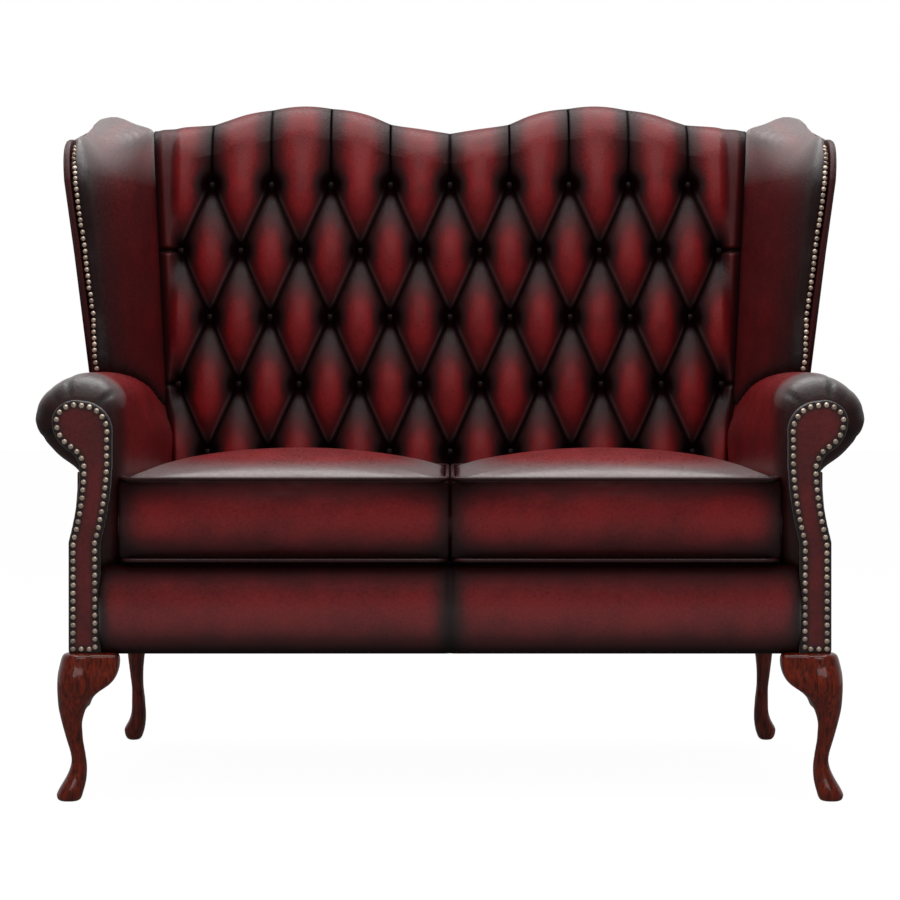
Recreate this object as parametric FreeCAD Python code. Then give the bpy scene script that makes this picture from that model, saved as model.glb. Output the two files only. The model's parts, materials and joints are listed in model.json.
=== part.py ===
import FreeCAD, Part
import math
import os

# Two-seat wing-back chesterfield sofa, millimetres, +Z up, front towards -Y.
# The origin is on the floor, in the middle of the footprint.
# Side pieces are drawn on the right (+X) and mirrored to the left.

V = FreeCAD.Vector

# Overall sizes
overall_depth = 820.0        # from the front toes to the top of the outside back
arm_span = 1288.0            # over the arm scrolls
arm_height = 658.0
roll_radius = 68.0           # of the arm scrolls
waist_drop = 14.0            # from under the scroll to the top of the outside arm
scroll_overhang = 55.0       # of the scrolls beyond the foot of the arms
leg_height = 227.0
rail_height = 129.0
crest_low = 1086.0           # height of the dips in the back's top edge
crest_rise = 45.0            # of the two humps over the dips
crest_share = 1.0324         # distance from dip to dip, as a share of the seam's distance from the middle
toe_reach = 25.0             # of the front toes beyond the arm fronts

# Seat
seat_height = 497.0          # top seam of the cushions
back_room = 290.0            # depth of the buttoned back and the toes
arm_thickness = 129.0        # from the scroll's outside to the inside of the arm, at the front
seat_narrowing = 58.0        # of the seat towards the back
cushion_crown = 34.0
cushion_bulge = 8.0          # of the front face
cushion_setback = 5.0        # front seam behind the arm fronts
cushion_gap = 0.6            # to the arms and the back, and between the cushions
piping_radius = 2.5
wrap_thickness = 14.0        # leather and fibre between the cushion's seams and its foam core
deck_thickness = 6.5
cushion_facets = 8
piping_sides = 6

# Back
rear_lean = 7.0              # degrees, of the frame and the outside back
front_lean = 13.0            # degrees, of the buttoned face
button_share = 9.32          # button pitches between the seams with the wings
row_pitch = 118.0            # in height
lowest_row = 21.5            # over the cushions' top seam
pit_depth = 42.0             # of the buttons behind the crowns
pleat_depth = 22.0           # halfway along a pleat
seam_depth = 26.0            # where the back meets the wings
seam_inset = 150.0           # of that seam from the scroll's outside, at seat height
seam_flare = 0.069           # how far the seam runs outwards over its height
roll_drop = 34.0             # from the crest down to where the flutes turn over the top
crest_pad = 26.0             # padding over the top rail
facets = 4                   # flat facets along each pleat
turn_facets = 3              # facets along a flute and over the top
button_radius = 7.0
button_height = 5.0
button_sink = 2.0
panel_thickness = 6.0        # leather over board or lining
webbing_thickness = 2.0
webbing_width = 50.0
upright_straps = 7
level_straps = 4
top_rail_height = 80.0
lower_rail_rise = 22.0       # of the lower back rail over the seat deck
lower_rail_height = 50.0
corner_round = 18.0          # at the top corners of the outside back

# Wings
wing_reach = 270.0           # of the front edge before the back's crowns, at the arm
wing_slope = 0.25            # fall of the top towards the seam with the back
wing_flare = 0.132           # how far the outside runs outwards over its height
wing_toe_in = 0.03           # how far it runs inwards towards the back
wing_splay = 0.1935          # how far the inside runs outwards towards the front
wing_lip = 8.0               # leather and padding outside the wing board
board_thickness = 15.0
board_inset = 18.0

# Arms and base
facing_thickness = 12.0
facing_width = 48.0          # of its foot
post_thickness = 28.0
front_round = 26.0           # rounding of the padded arm front
front_sections = 3           # outlines through that rounding
border_bulge = 25.0
arm_flank = 20.0             # of the padding inside the scroll's middle
lip_depth = 8.0              # border leather over the top of the front rail
rail_thickness = 28.0
back_post_width = 27.0
back_post_depth = 40.0
post_overlap = 8.0           # of the back posts inside the side rails
arm_rail_size = 36.0
wire_size = 4.0
spring_count = 8
spring_step = 48.0           # between the runs of a spring
spring_reach = 24.0          # of a run to either side
spring_margin = 60.0         # from the outer springs to the arms
corner_size = 90.0
lip_thickness = 5.0
seam_groove = 2.0            # seam in the middle of the border
clip_thickness = 1.5
clip_reach = 7.0
cloth_thickness = 1.5

# Legs: rings give a share of the height, the outward sway and the radius
front_leg_inset = 15.0       # of its axis from the outside of the arm's foot
rear_leg_out = 5.0           # of its axis beyond the back post's
front_rings = [
    (0.0, 14.5, 19.0), (0.045, 14.5, 20.5), (0.10, 9.0, 19.0), (0.155, 4.5, 16.0), (0.205, 1.5, 13.8),
    (0.26, 0.5, 11.6), (0.315, 2.0, 11.5), (0.42, 7.0, 13.0), (0.53, 10.5, 15.5), (0.63, 10.0, 21.0),
    (0.74, 5.0, 27.0), (0.87, 3.0, 29.0), (1.0, -2.0, 28.0),
]
rear_rings = [
    (0.0, 8.0, 13.0), (0.05, 8.0, 17.0), (0.09, 7.0, 19.0), (0.15, 1.0, 15.5), (0.22, -2.0, 13.0),
    (0.32, -1.5, 12.3), (0.42, 0.0, 10.8), (0.52, 2.0, 12.0), (0.63, 3.0, 14.0), (0.80, 2.0, 19.0),
    (1.0, 0.0, 24.0),
]
leg_sides = 12
ear_reach = 62.0
ear_drop = 84.0
ear_width = 34.0
ear_facets = 4

# Trim
nail_radius = 3.7
nail_height = 2.2
nail_spacing = 12.3
nail_inset = 7.0
wing_nail_spacing = 10.2
wing_nail_drop = 52.0        # of the last nail under the back's dips
bolt_radius = 4.0
bolt_length = 64.0

# Clearances
soft_gap = 0.4               # between curved soft pieces
seat_gap = 0.3               # between a piece and what it sits on
bolt_gap = 0.3

# Places that follow from the sizes
front_y = -overall_depth / 2 + toe_reach
rear_slope = math.tan(math.radians(rear_lean))
front_slope = math.tan(math.radians(front_lean))
crest_top = crest_low + crest_rise
rear_base_y = overall_depth / 2 - (crest_top - leg_height) * rear_slope
seat_depth = overall_depth - back_room
seat_back_y = front_y + seat_depth
arm_floor_half = arm_span / 2 - scroll_overhang
seat_width_front = arm_span - 2 * arm_thickness
seat_width_rear = seat_width_front - seat_narrowing
seam_half = arm_span / 2 - seam_inset
button_pitch = 2 * seam_half / button_share
crest_pitch = crest_share * seam_half
front_leg_x = arm_floor_half - front_leg_inset
rail_top = leg_height + rail_height
deck_top = rail_top + wire_size + clip_thickness + deck_thickness
lower_rail_z = deck_top + lower_rail_rise
pad_floor = rail_top + seat_gap
roll_x = arm_span / 2 - roll_radius
roll_z = arm_height - roll_radius
waist_z = roll_z - roll_radius - waist_drop
post_front = front_y + facing_thickness
post_rear = post_front + post_thickness
rail_front = front_y + border_bulge + 2.0
rail_rear = rail_front + rail_thickness
post_inset = panel_thickness + soft_gap
stump_inset = post_inset + 1.0
frame_front = panel_thickness + rail_thickness
slab_front = frame_front + 2 * webbing_thickness + seat_gap
wing_front_y = seat_back_y - wing_reach
facing_inner = arm_floor_half - facing_width
side_rail_inner = facing_inner + post_inset
side_rail_outer = side_rail_inner + rail_thickness
back_post_inner = side_rail_inner - post_overlap
far = 2000.0                 # reach of the blocks that only cut


def crest(x):
    """Height of the serpentine top at a distance from the middle: equal arcs that meet halfway up."""
    half = crest_pitch / 2
    radius = (half ** 2 + crest_rise ** 2) / (4 * crest_rise)
    place = abs(x) % crest_pitch
    from_dip = min(place, crest_pitch - place)
    if from_dip < half / 2:
        return crest_low + radius - math.sqrt(radius ** 2 - from_dip ** 2)
    return crest_low + crest_rise - radius + math.sqrt(radius ** 2 - (half - from_dip) ** 2)


def crest_arcs(start, drop):
    """Steps along the serpentine top from start on the right to its mirror on the left, lowered by drop."""
    quarter = crest_pitch / 4
    joints = [quarter * i for i in range(-9, 10, 2) if abs(quarter * i) < start]
    ends = joints[::-1] + [-start]
    steps = []
    here = start
    for end in ends:
        through = (here + end) / 2
        steps.append(((through, crest(through) - drop), (end, crest(end) - drop)))
        here = end
    return steps


def seam(z):
    """Distance from the middle to the seam between back and wing."""
    return seam_half + seam_flare * (z - seat_height)


def back_y(z):
    """Place of the buttoned back's crowns."""
    return seat_back_y + (z - seat_height) * front_slope


def rear_y(z, depth):
    """Place of a plane that lies depth in front of the outside back's rear face."""
    return rear_base_y + (z - leg_height) * rear_slope - depth / math.cos(math.radians(rear_lean))


def on_rear(x, z, depth):
    """Point that lies depth in front of the outside back's rear face, square to it."""
    tilt = math.radians(rear_lean)
    y = rear_base_y + (z - leg_height) * rear_slope - depth * math.cos(tilt)
    return V(x, y, z + depth * math.sin(tilt))


def arm_inner(y):
    """Distance from the middle to the arm's inside face."""
    share = (y - front_y) / seat_depth
    return (seat_width_front + (seat_width_rear - seat_width_front) * share) / 2


def wing_outside(y, z):
    return arm_floor_half + wing_flare * (z - arm_height) - wing_toe_in * (y - wing_front_y)


def wing_inside(y, z):
    return seam(z) + (back_y(z) - y) * wing_splay


def trace(path, place):
    """Closed wire. A step is a point, or a pair (through, end) for an arc."""
    edges = []
    here = place(*path[0])
    for step in path[1:]:
        if isinstance(step[0], tuple):
            end = place(*step[1])
            edges.append(Part.Arc(here, place(*step[0]), end).toShape())
        else:
            end = place(*step)
            edges.append(Part.makeLine(here, end))
        here = end
    first = place(*path[0])
    if here.distanceToPoint(first) > 1e-6:
        edges.append(Part.makeLine(here, first))
    return Part.Wire(edges)


def block(x0, x1, y0, y1, z0, z1):
    return Part.makeBox(x1 - x0, y1 - y0, z1 - z0, V(x0, y0, z0))


def across(path, x0, x1):
    """Outline in Y and Z, drawn out along X."""
    return Part.Face(trace(path, lambda y, z: V(x0, y, z))).extrude(V(x1 - x0, 0, 0))


def lengthwise(path, y0, y1):
    """Outline in X and Z, drawn out along Y."""
    return Part.Face(trace(path, lambda x, z: V(x, y0, z))).extrude(V(0, y1 - y0, 0))


def leaning(path, near, far_side):
    """Board in the sloping back: an outline in X and Z, between two depths from the rear face."""
    up = math.cos(math.radians(rear_lean))
    outline = trace(path, lambda x, z: V(x, -far_side, (z - leg_height) / up))
    board = Part.Face(outline).extrude(V(0, far_side - near, 0))
    board.rotate(V(0, 0, 0), V(1, 0, 0), -rear_lean)
    board.translate(V(0, rear_base_y, leg_height))
    return board


def wedge(inner, outer, y0, y1, z0, z1):
    """Block between two sloping sides that are given as X from Y and Z."""
    plan = [(y0, z0), (y1, z0), (y1, z1), (y0, z1)]
    low = [V(inner(y, z), y, z) for y, z in plan]
    high = [V(outer(y, z), y, z) for y, z in plan]
    loops = [low, high]
    loops += [[low[i], low[(i + 1) % 4], high[(i + 1) % 4], high[i]] for i in range(4)]
    faces = [Part.Face(Part.makePolygon(loop + loop[:1])) for loop in loops]
    return Part.makeSolid(Part.makeShell(faces))


def mirrored(shape):
    return shape.mirror(V(0, 0, 0), V(1, 0, 0))


def solid_of(faces):
    """Closed solid from faces that share their edges."""
    shell = Part.makeCompound(faces)
    shell.sewShape()
    solid = Part.makeSolid(shell.Shells[0])
    if solid.Volume < 0:
        solid.reverse()
    return solid


def bend(start, control, end, share):
    """Point of the curve that leaves start towards control and reaches end."""
    return start * (1 - share) ** 2 + control * 2 * share * (1 - share) + end * share ** 2


def bend_points(start, control, end, count):
    return [bend(start, control, end, i / count) for i in range(count + 1)]


def polygon(points):
    return Part.Face(Part.makePolygon(points + points[:1]))


def drawn_up(points, height):
    """Flat outline drawn up into a solid."""
    solid = polygon(points).extrude(V(0, 0, height))
    if solid.Volume < 0:
        solid.reverse()
    return solid


def strips(lines):
    """Flat facets between neighbouring lines of points; facets without area are left out."""
    faces = []
    for low, high in zip(lines, lines[1:]):
        for i in range(len(low) - 1):
            for corner in ([low[i], low[i + 1], high[i + 1]], [low[i], high[i + 1], high[i]]):
                sides = [corner[k].distanceToPoint(corner[k - 1]) for k in range(3)]
                if min(sides) > 1e-6:
                    faces.append(polygon(corner))
    return faces


def patch(rows, along, cross):
    """Padded surface over a net of three by three points, in small flat facets."""
    lines = []
    for i in range(along + 1):
        controls = [bend(*[row[j] for row in rows], i / along) for j in range(3)]
        lines.append(bend_points(*controls, cross))
    return strips(lines)


def behind(depth):
    """Everything behind a plane that lies depth in front of the outside back's rear face."""
    return leaning([(-far, -far), (far, -far), (far, far), (-far, far)], -far, depth)


def frame_space():
    """Room between the back posts for the back's rails and webbing."""
    half = back_post_inner
    return leaning([(-half, 0), (half, 0), (half, far), (-half, far)], panel_thickness, slab_front)


# Arms

facing_path = [
    (arm_floor_half, leg_height),
    (arm_floor_half - 1.0, roll_z - 190.0),
    ((arm_floor_half - 12.5, roll_z - 138.0), (arm_floor_half - 18.5, roll_z - 82.0)),
    ((arm_floor_half - 15.0, roll_z - 64.0), (arm_floor_half - 3.0, roll_z - 50.0)),
    ((arm_floor_half + 21.0, roll_z - 22.0), (arm_floor_half + 23.0, roll_z + 4.0)),
    ((arm_floor_half + 7.0, roll_z + 23.0), (arm_floor_half - 20.0, roll_z + 27.0)),
    ((arm_floor_half - 54.0, roll_z + 13.0), (arm_floor_half - 67.0, roll_z - 28.0)),
    (arm_floor_half - 67.0, roll_z - 70.0),
    ((arm_floor_half - 60.0, roll_z - 138.0), (facing_inner, roll_z - 192.0)),
    (facing_inner, leg_height),
]
side_bend = (arm_floor_half - 10.0, roll_z - 140.0)   # hollow of the arm's outside
side_bend_z = roll_z - 190.0                          # where that hollow starts


def facing_outline(y, grow):
    """Scroll outline of the arm's front, grown or drawn in all round."""
    outline = Part.Face(trace(facing_path, lambda x, z: V(x, y, z)))
    if grow:
        outline = outline.makeOffset2D(grow)
    return outline


def arm_facing():
    return facing_outline(front_y, 0).extrude(V(0, facing_thickness, 0))


def front_post(grow):
    """Arm stump: a sawn board with the scroll's outline in straight cuts, standing on the leg."""
    corners = []
    for step in facing_path:
        corners += step if isinstance(step[0], tuple) else [step]
    outline = Part.Face(trace(corners, lambda x, z: V(x, post_front, z)))
    scroll = outline.makeOffset2D(grow - stump_inset, join=2).extrude(V(0, post_thickness, 0))
    foot = block(side_rail_inner, arm_floor_half - stump_inset, post_front, post_rear, leg_height, rail_top)
    return scroll.fuse(foot).removeSplitter().cut(bolt_hole(front_bolt))


def arm_section(y, inset):
    """Outline of the padded arm: inside face, scroll, and the flat side behind the outside arm."""
    inner = arm_inner(y) + inset / 2
    radius = roll_radius - inset
    low = math.cos(math.radians(30)) * radius
    slant = math.cos(math.radians(45)) * radius
    path = [
        (inner, pad_floor),
        (inner, roll_z - radius / 2),
        (roll_x - low, roll_z + radius / 2),
        ((roll_x - radius / 2, roll_z + low), (roll_x, roll_z + radius)),
        ((roll_x + slant, roll_z + slant), (roll_x + radius, roll_z)),
        ((roll_x + slant, roll_z - slant), (roll_x, roll_z - radius)),
        (roll_x, waist_z),
        (roll_x - arm_flank, waist_z),
        (roll_x - arm_flank, pad_floor),
    ]
    return trace(path, lambda x, z: V(x, y, z))


def arm_body(grow):
    """The arm's padding before its frame is let in; grown for cutting its neighbours."""
    pad_front = post_front
    sections = []
    for i in range(front_sections):
        turn = math.radians(90.0 * i / (front_sections - 1))
        y = pad_front + front_round * (1 - math.cos(turn))
        sections.append(arm_section(y, front_round * (1 - math.sin(turn)) - grow))
    sections.append(arm_section(rear_y(arm_height, 0) + grow, -grow))
    return Part.makeLoft(sections, True, True)


def back_space(grow):
    """Room that the buttoned back takes up, with a clearance."""
    low, high = pad_floor - 1.0, crest_top
    side = [
        (back_y(low) - grow, low),
        (back_y(high) - grow, high),
        (far, high),
        (far, low),
    ]
    reach = wedge(lambda y, z: -seam(z) - grow, lambda y, z: seam(z) + grow, -far, far, low, high)
    return across(side, -far, far).common(reach)


def arm_rail():
    half = arm_rail_size / 2
    z0 = roll_z - half
    rail = block(roll_x - half, roll_x + half, post_rear, rear_y(z0, 0), z0, z0 + arm_rail_size)
    return rail.cut(behind(panel_thickness + back_post_depth))


def arm_pad():
    pad = arm_body(0)
    pad = pad.cut(front_post(soft_gap))
    pad = pad.cut(arm_rail())
    pad = pad.cut(back_space(soft_gap))
    pad = pad.cut(back_post()).cut(frame_space())
    pad = pad.cut(block(0, facing_inner, -far, rail_front + lip_depth + seat_gap,
                        0, rail_top + 1.5 * lip_thickness))
    return pad.cut(behind(panel_thickness))


def outside_arm():
    """Leather panel from under the scroll down to the foot of the arm."""
    inner = arm_floor_half - panel_thickness
    path = [
        (arm_floor_half, leg_height),
        (arm_floor_half, side_bend_z),
        (side_bend, (roll_x, waist_z - seat_gap)),
        (roll_x - panel_thickness, waist_z - seat_gap),
        ((side_bend[0] - panel_thickness, side_bend[1]), (inner, side_bend_z)),
        (inner, leg_height),
    ]
    panel = lengthwise(path, post_front + seat_gap, rear_y(leg_height, 0) + roll_radius)
    return panel.cut(behind(panel_thickness))


# Wings

wing_length = rear_y(crest_low, 0) - wing_front_y
wing_rise = crest_low - arm_height


def on_wing(along, up):
    """Point of the wing's outline by shares of its length and of its rise over the arm."""
    return wing_front_y + along * wing_length, arm_height + up * wing_rise


wing_path = [
    (wing_front_y, roll_z),
    (on_wing(0.038, 0.33), on_wing(0.036, 0.74)),
    (on_wing(0.105, 0.855), on_wing(0.274, 0.916)),
    (on_wing(0.54, 0.967), on_wing(0.813, 1.015)),
    on_wing(1.15, 1.045),
    (on_wing(1.15, 0)[0], roll_z),
]


def wing_outline(grow):
    outline = Part.Face(trace(wing_path, lambda y, z: V(0, y, z)))
    if grow:
        outline = outline.makeOffset2D(grow)
    return outline.extrude(V(far, 0, 0))


def wing_layer(inner, outer, grow):
    """Layer of the wing between two sloping sides, cut to the wing's outline, the arm and the back."""
    layer = wedge(inner, outer, wing_front_y - 100.0, far, roll_z - 100.0, crest_top + 100.0)
    layer = layer.common(wing_outline(grow))
    layer = layer.cut(back_space(soft_gap))
    layer = layer.cut(arm_body(soft_gap))
    return layer.cut(behind(panel_thickness))


def inside_board(y, z):
    return wing_outside(y, z) - wing_lip - board_thickness


def outside_board(y, z):
    return wing_outside(y, z) - wing_lip


def wing_board():
    return wing_layer(inside_board, outside_board, -board_inset).cut(back_post())


def wing_pad():
    peak = seam(crest_low) + wing_flare * wing_rise
    low = on_wing(1, 1.045)[1] - wing_slope * peak
    slope = lengthwise([(0, low), (peak, low + wing_slope * peak), (peak, far), (0, far)], -far, far)
    pad = wing_layer(wing_inside, outside_board, 0).cut(slope)
    return pad.cut(wing_board()).cut(back_post()).cut(frame_space())


def outside_wing():
    return wing_layer(outside_board, wing_outside, 0)


# Back

def on_back(x, z, depth):
    """Point of the buttoned face, behind its crowns by depth."""
    return V(x, back_y(z) + depth, z)


def row_z(row):
    """Height of a row of buttons, counted from the top one."""
    return seat_height + lowest_row + (5 - row) * row_pitch


def knot(column, row):
    """Button place by half pitches from the middle; the tenth is on the seam with the wing."""
    z = row_z(row)
    if abs(column) < 10:
        return on_back(column * button_pitch / 2, z, pit_depth)
    return on_back(math.copysign(seam(z), column), z, seam_depth)


def pleat(start, end):
    """Control point of a pleat, so that its middle lies pleat_depth behind the crowns."""
    middle = (start + end) / 2
    sag = (start.y - back_y(start.z) + end.y - back_y(end.z)) / 2
    return on_back(middle.x, middle.z, 2 * pleat_depth - sag)


def diamond(top, left, bottom, right):
    """One padded diamond between four buttons."""
    edges = [pleat(top, left), pleat(left, bottom), pleat(bottom, right), pleat(right, top)]
    sag = sum(p.y - back_y(p.z) for p in (top, left, bottom, right)) / 4
    rise = sum(p.y - back_y(p.z) for p in edges) / 2
    middle = (left + right) / 2
    crown = on_back(middle.x, middle.z, -sag - rise)
    return patch([[top, edges[0], left], [edges[3], crown, edges[1]], [right, edges[2], bottom]],
                 facets, facets)


def corner_fill(tip, upper, lower):
    """Narrow end piece between a last button and the seam with the wing."""
    middle_z = (upper.z + lower.z) / 2
    edge = on_back(math.copysign(seam(middle_z), tip.x), middle_z, seam_depth)
    middle = (tip + edge) / 2
    return patch([[tip, tip, tip], [pleat(tip, upper), middle, pleat(tip, lower)], [upper, edge, lower]],
                 facets, facets)


def flute(base, side, end_side, end_middle):
    """Half a flute, from its pleat to its ridge: it runs from two buttons to an edge of the back."""
    ridge = on_back(base.x, (base.z + 2 * side.z) / 3, -pit_depth / 3)
    valley = pleat(side, end_side)
    between = on_back((base.x + side.x) / 2, (ridge.z + valley.z) / 2, -pit_depth / 3)
    shoulder = V((end_side.x + end_middle.x) / 2, end_middle.y, (end_side.z + end_middle.z) / 2)
    return patch([
        [side, pleat(side, base), base],
        [valley, between, ridge],
        [end_side, shoulder, end_middle],
    ], turn_facets, facets)


def column_x(column, z):
    if abs(column) < 10:
        return column * button_pitch / 2
    return math.copysign(seam(z), column)


def shoulder_point(column):
    """Where a pleat or ridge turns over the top of the back."""
    z = crest(column * button_pitch / 2) - roll_drop
    depth = pleat_depth / 2 if column % 2 == 0 else pleat_depth / 8
    return on_back(column_x(column, z), z, depth)


def rear_point(column):
    """Where it ends at the outside back."""
    z = crest(column * button_pitch / 2) - (8.0 if column % 2 == 0 else 4.0)
    return V(column_x(column, z), rear_y(z, panel_thickness), z)


def halfway(start, end):
    """Control point between two points of the rear edge of the top."""
    z = (start.z + end.z) / 2
    return V((start.x + end.x) / 2, rear_y(z, panel_thickness), z)


def turn_over(column_side, column_middle):
    """Half a flute where it turns over the top."""
    front = [shoulder_point(column_side), None, shoulder_point(column_middle)]
    back = [rear_point(column_side), None, rear_point(column_middle)]
    front[1] = V((front[0].x + front[2].x) / 2, front[2].y, (front[0].z + front[2].z) / 2)
    back[1] = halfway(back[0], back[2])
    top = [turn_control(a, b) for a, b in zip(front, back)]
    return patch([front, top, back], turn_facets, facets)


def turn_control(front, back):
    """Control point that lets the turn rise to the crest."""
    z = (4 * crest(front.x) - front.z - back.z) / 2
    x = (front.x + back.x) / 2
    if abs(abs(front.x) - seam(front.z)) < 1e-6:
        x = math.copysign(seam(z), front.x)
    return V(x, (front.y + back.y) / 2, z)


def floor_point(column):
    """Where a pleat or ridge ends on the seat deck."""
    z = deck_top + seat_gap
    depth = pleat_depth if column % 2 == 0 else pleat_depth / 2
    return on_back(column_x(column, z), z, depth)


def edge_chain(point, control):
    """Points from wing to wing along an edge of the back, flute by flute."""
    chain = [point(-10)]
    for ridge in range(-9, 10, 2):
        rising = bend_points(point(ridge - 1), control(point(ridge - 1), point(ridge)), point(ridge), facets)
        falling = bend_points(point(ridge + 1), control(point(ridge + 1), point(ridge)), point(ridge), facets)
        chain += rising[1:] + falling[-2::-1]
    return chain


def back_pad_walls():
    """Flat sides of the back: on the deck, against the webbing, over the top rail and against the wings."""
    floor_z = deck_top + seat_gap
    floor_line = edge_chain(floor_point, lambda side, ridge: V((side.x + ridge.x) / 2, ridge.y, ridge.z))
    top_line = edge_chain(rear_point, halfway)
    ledge_rear = [on_rear(p.x, crest(p.x) - crest_pad, panel_thickness) for p in top_line]
    ledge_front = [on_rear(p.x, crest(p.x) - crest_pad, slab_front) for p in top_line]
    for line in (ledge_rear, ledge_front):
        line[0].x = -seam(line[0].z)
        line[-1].x = seam(line[-1].z)
    feet = [V(side * seam(floor_z), rear_y(floor_z, slab_front), floor_z) for side in (-1, 1)]
    walls = [
        polygon(floor_line + [feet[1], feet[0]]),
        polygon(ledge_front + [feet[1], feet[0]]),
        polygon(top_line + ledge_rear[::-1]),
    ]
    walls += strips([ledge_front, ledge_rear])
    for side, end in ((-1, 0), (1, -1)):
        column = 10 * side
        foot, shoulder, rear = floor_point(column), shoulder_point(column), rear_point(column)
        first, last = knot(column, 1), knot(column, 5)
        front = bend_points(foot, pleat(last, foot), last, turn_facets)
        front += straight_points(last, knot(column, 3), facets)[1:]
        front += straight_points(knot(column, 3), first, facets)[1:]
        front += bend_points(first, pleat(first, shoulder), shoulder, turn_facets)[1:]
        front += bend_points(shoulder, turn_control(shoulder, rear), rear, turn_facets)[1:]
        walls.append(polygon(front + [ledge_rear[end], ledge_front[end], feet[end]]))
    return walls


def straight_points(start, end, count):
    return bend_points(start, (start + end) / 2, end, count)


def back_pad():
    """Deep-buttoned back: diamonds between the buttons, flutes over the top and down to the deck."""
    faces = back_pad_walls()
    for row in (2, 3, 4):
        for column in range(-9, 10):
            if (column + row) % 2 == 0:
                faces += diamond(knot(column, row - 1), knot(column - 1, row),
                                 knot(column, row + 1), knot(column + 1, row))
    for column in range(-9, 10, 2):
        for side in (column - 1, column + 1):
            faces += flute(knot(column, 2), knot(side, 1), shoulder_point(side), shoulder_point(column))
            faces += turn_over(side, column)
            faces += flute(knot(column, 4), knot(side, 5), floor_point(side), floor_point(column))
    for side in (-1, 1):
        for row in (2, 4):
            faces += corner_fill(knot(9 * side, row), knot(10 * side, row - 1), knot(10 * side, row + 1))
    return solid_of(faces).cut(at_buttons(button_pocket(), button_seat()))


def back_post():
    inner = back_post_inner
    outer = inner + back_post_width
    top = crest_low - crest_pad
    path = [(inner, leg_height), (outer, leg_height), (outer, top), (inner, top)]
    return leaning(path, panel_thickness, panel_thickness + back_post_depth)


# Frame

front_bolt = (side_rail_inner + 18.0, (post_front + post_rear) / 2)
rear_bolt = (back_post_inner + back_post_width / 2, rear_y(leg_height, panel_thickness + back_post_depth / 2))


def six_sided(place, radius, length):
    """Upright six-sided rod centred on the top of a leg."""
    turns = [math.radians(60 * i) for i in range(6)]
    low = leg_height - length / 2
    corners = [V(place[0] + radius * math.cos(a), place[1] + radius * math.sin(a), low) for a in turns]
    return drawn_up(corners, length)


def bolt_hole(place):
    return six_sided(place, bolt_radius + bolt_gap, bolt_length + 2 * bolt_gap)


def leg_bolts():
    places = [(side * x, y) for side in (-1, 1) for x, y in (front_bolt, rear_bolt)]
    return Part.makeCompound([six_sided(place, bolt_radius, bolt_length) for place in places])


def front_seat_rail():
    return block(-side_rail_inner, side_rail_inner, rail_front, rail_rear, leg_height, rail_top)


def side_rail():
    rail = block(side_rail_inner, side_rail_outer, post_rear, rear_base_y, leg_height, rail_top)
    return rail.cut(behind(panel_thickness + back_post_depth))


def back_rail(low, high):
    """Rail between the back posts."""
    half = back_post_inner
    return leaning([(-half, low), (half, low), (half, high), (-half, high)], panel_thickness, frame_front)


def rear_seat_rail():
    """Lowest rail, planed level on top for the springs."""
    return back_rail(leg_height, rail_top).cut(block(-far, far, 0, far, rail_top, far))


def back_top_rail():
    """Rail with the serpentine top edge."""
    half = back_post_inner
    low = crest_low - crest_pad - top_rail_height
    drop = crest_pad + 2 * soft_gap
    path = [(-half, low), (half, low), (half, crest(half) - drop)] + crest_arcs(half, drop)
    return leaning(path, panel_thickness, frame_front)


def back_slat():
    low = lower_rail_z + lower_rail_height
    high = crest_low - crest_pad - top_rail_height
    half = webbing_width / 2
    return leaning([(-half, low), (half, low), (half, high), (-half, high)], panel_thickness, frame_front)


def back_webbing():
    """Upright straps on the rails, and level ones across them from post to post."""
    low = lower_rail_z + lower_rail_height / 2
    high = crest_low - crest_pad - top_rail_height / 2
    half = webbing_width / 2
    straps = []
    for i in range(upright_straps):
        x = (i - (upright_straps - 1) / 2) * back_post_inner * 2 / (upright_straps + 1)
        path = [(x - half, low), (x + half, low), (x + half, high), (x - half, high)]
        straps.append(leaning(path, frame_front, frame_front + webbing_thickness))
    for i in range(level_straps):
        z = low + (high - low) * (i + 1) / (level_straps + 1)
        path = [(-back_post_inner, z - half), (back_post_inner, z - half),
                (back_post_inner, z + half), (-back_post_inner, z + half)]
        straps.append(leaning(path, frame_front + webbing_thickness, frame_front + 2 * webbing_thickness))
    return Part.makeCompound(straps)


def centre_brace():
    half = rail_thickness / 2
    low = leg_height + rail_height / 6
    brace = block(-half, half, rail_rear, rear_base_y, low, low + rail_height / 2)
    return brace.cut(behind(frame_front))


def corner_blocks():
    """Glued blocks in the four corners of the seat frame."""
    low = leg_height + rail_height / 6
    blocks = []
    for y, way in ((rail_rear, 1), (rear_base_y, -1)):
        reach = corner_size if way > 0 else corner_size + panel_thickness + back_post_depth
        corners = [V(side_rail_inner, y, low), V(side_rail_inner - reach, y, low),
                   V(side_rail_inner, y + way * reach, low)]
        corner = drawn_up(corners, rail_height / 2)
        corner = corner.cut(behind(frame_front)).cut(back_post())
        blocks += [corner, mirrored(corner)]
    return Part.makeCompound(blocks)


# Legs

def ring(x, y, z, radius):
    turns = [2 * math.pi * i / leg_sides for i in range(leg_sides + 1)]
    return [V(x + radius * math.cos(a), y + radius * math.sin(a), z) for a in turns]


def turned_leg(rings, x, y, way):
    """Leg that sways outwards and along Y, through rings (share of the height, sway, radius)."""
    lines = [ring(x + sway, y + way * sway, share * leg_height, radius) for share, sway, radius in rings]
    return solid_of(strips(lines) + [polygon(lines[0][:-1]), polygon(lines[-1][:-1])])


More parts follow.
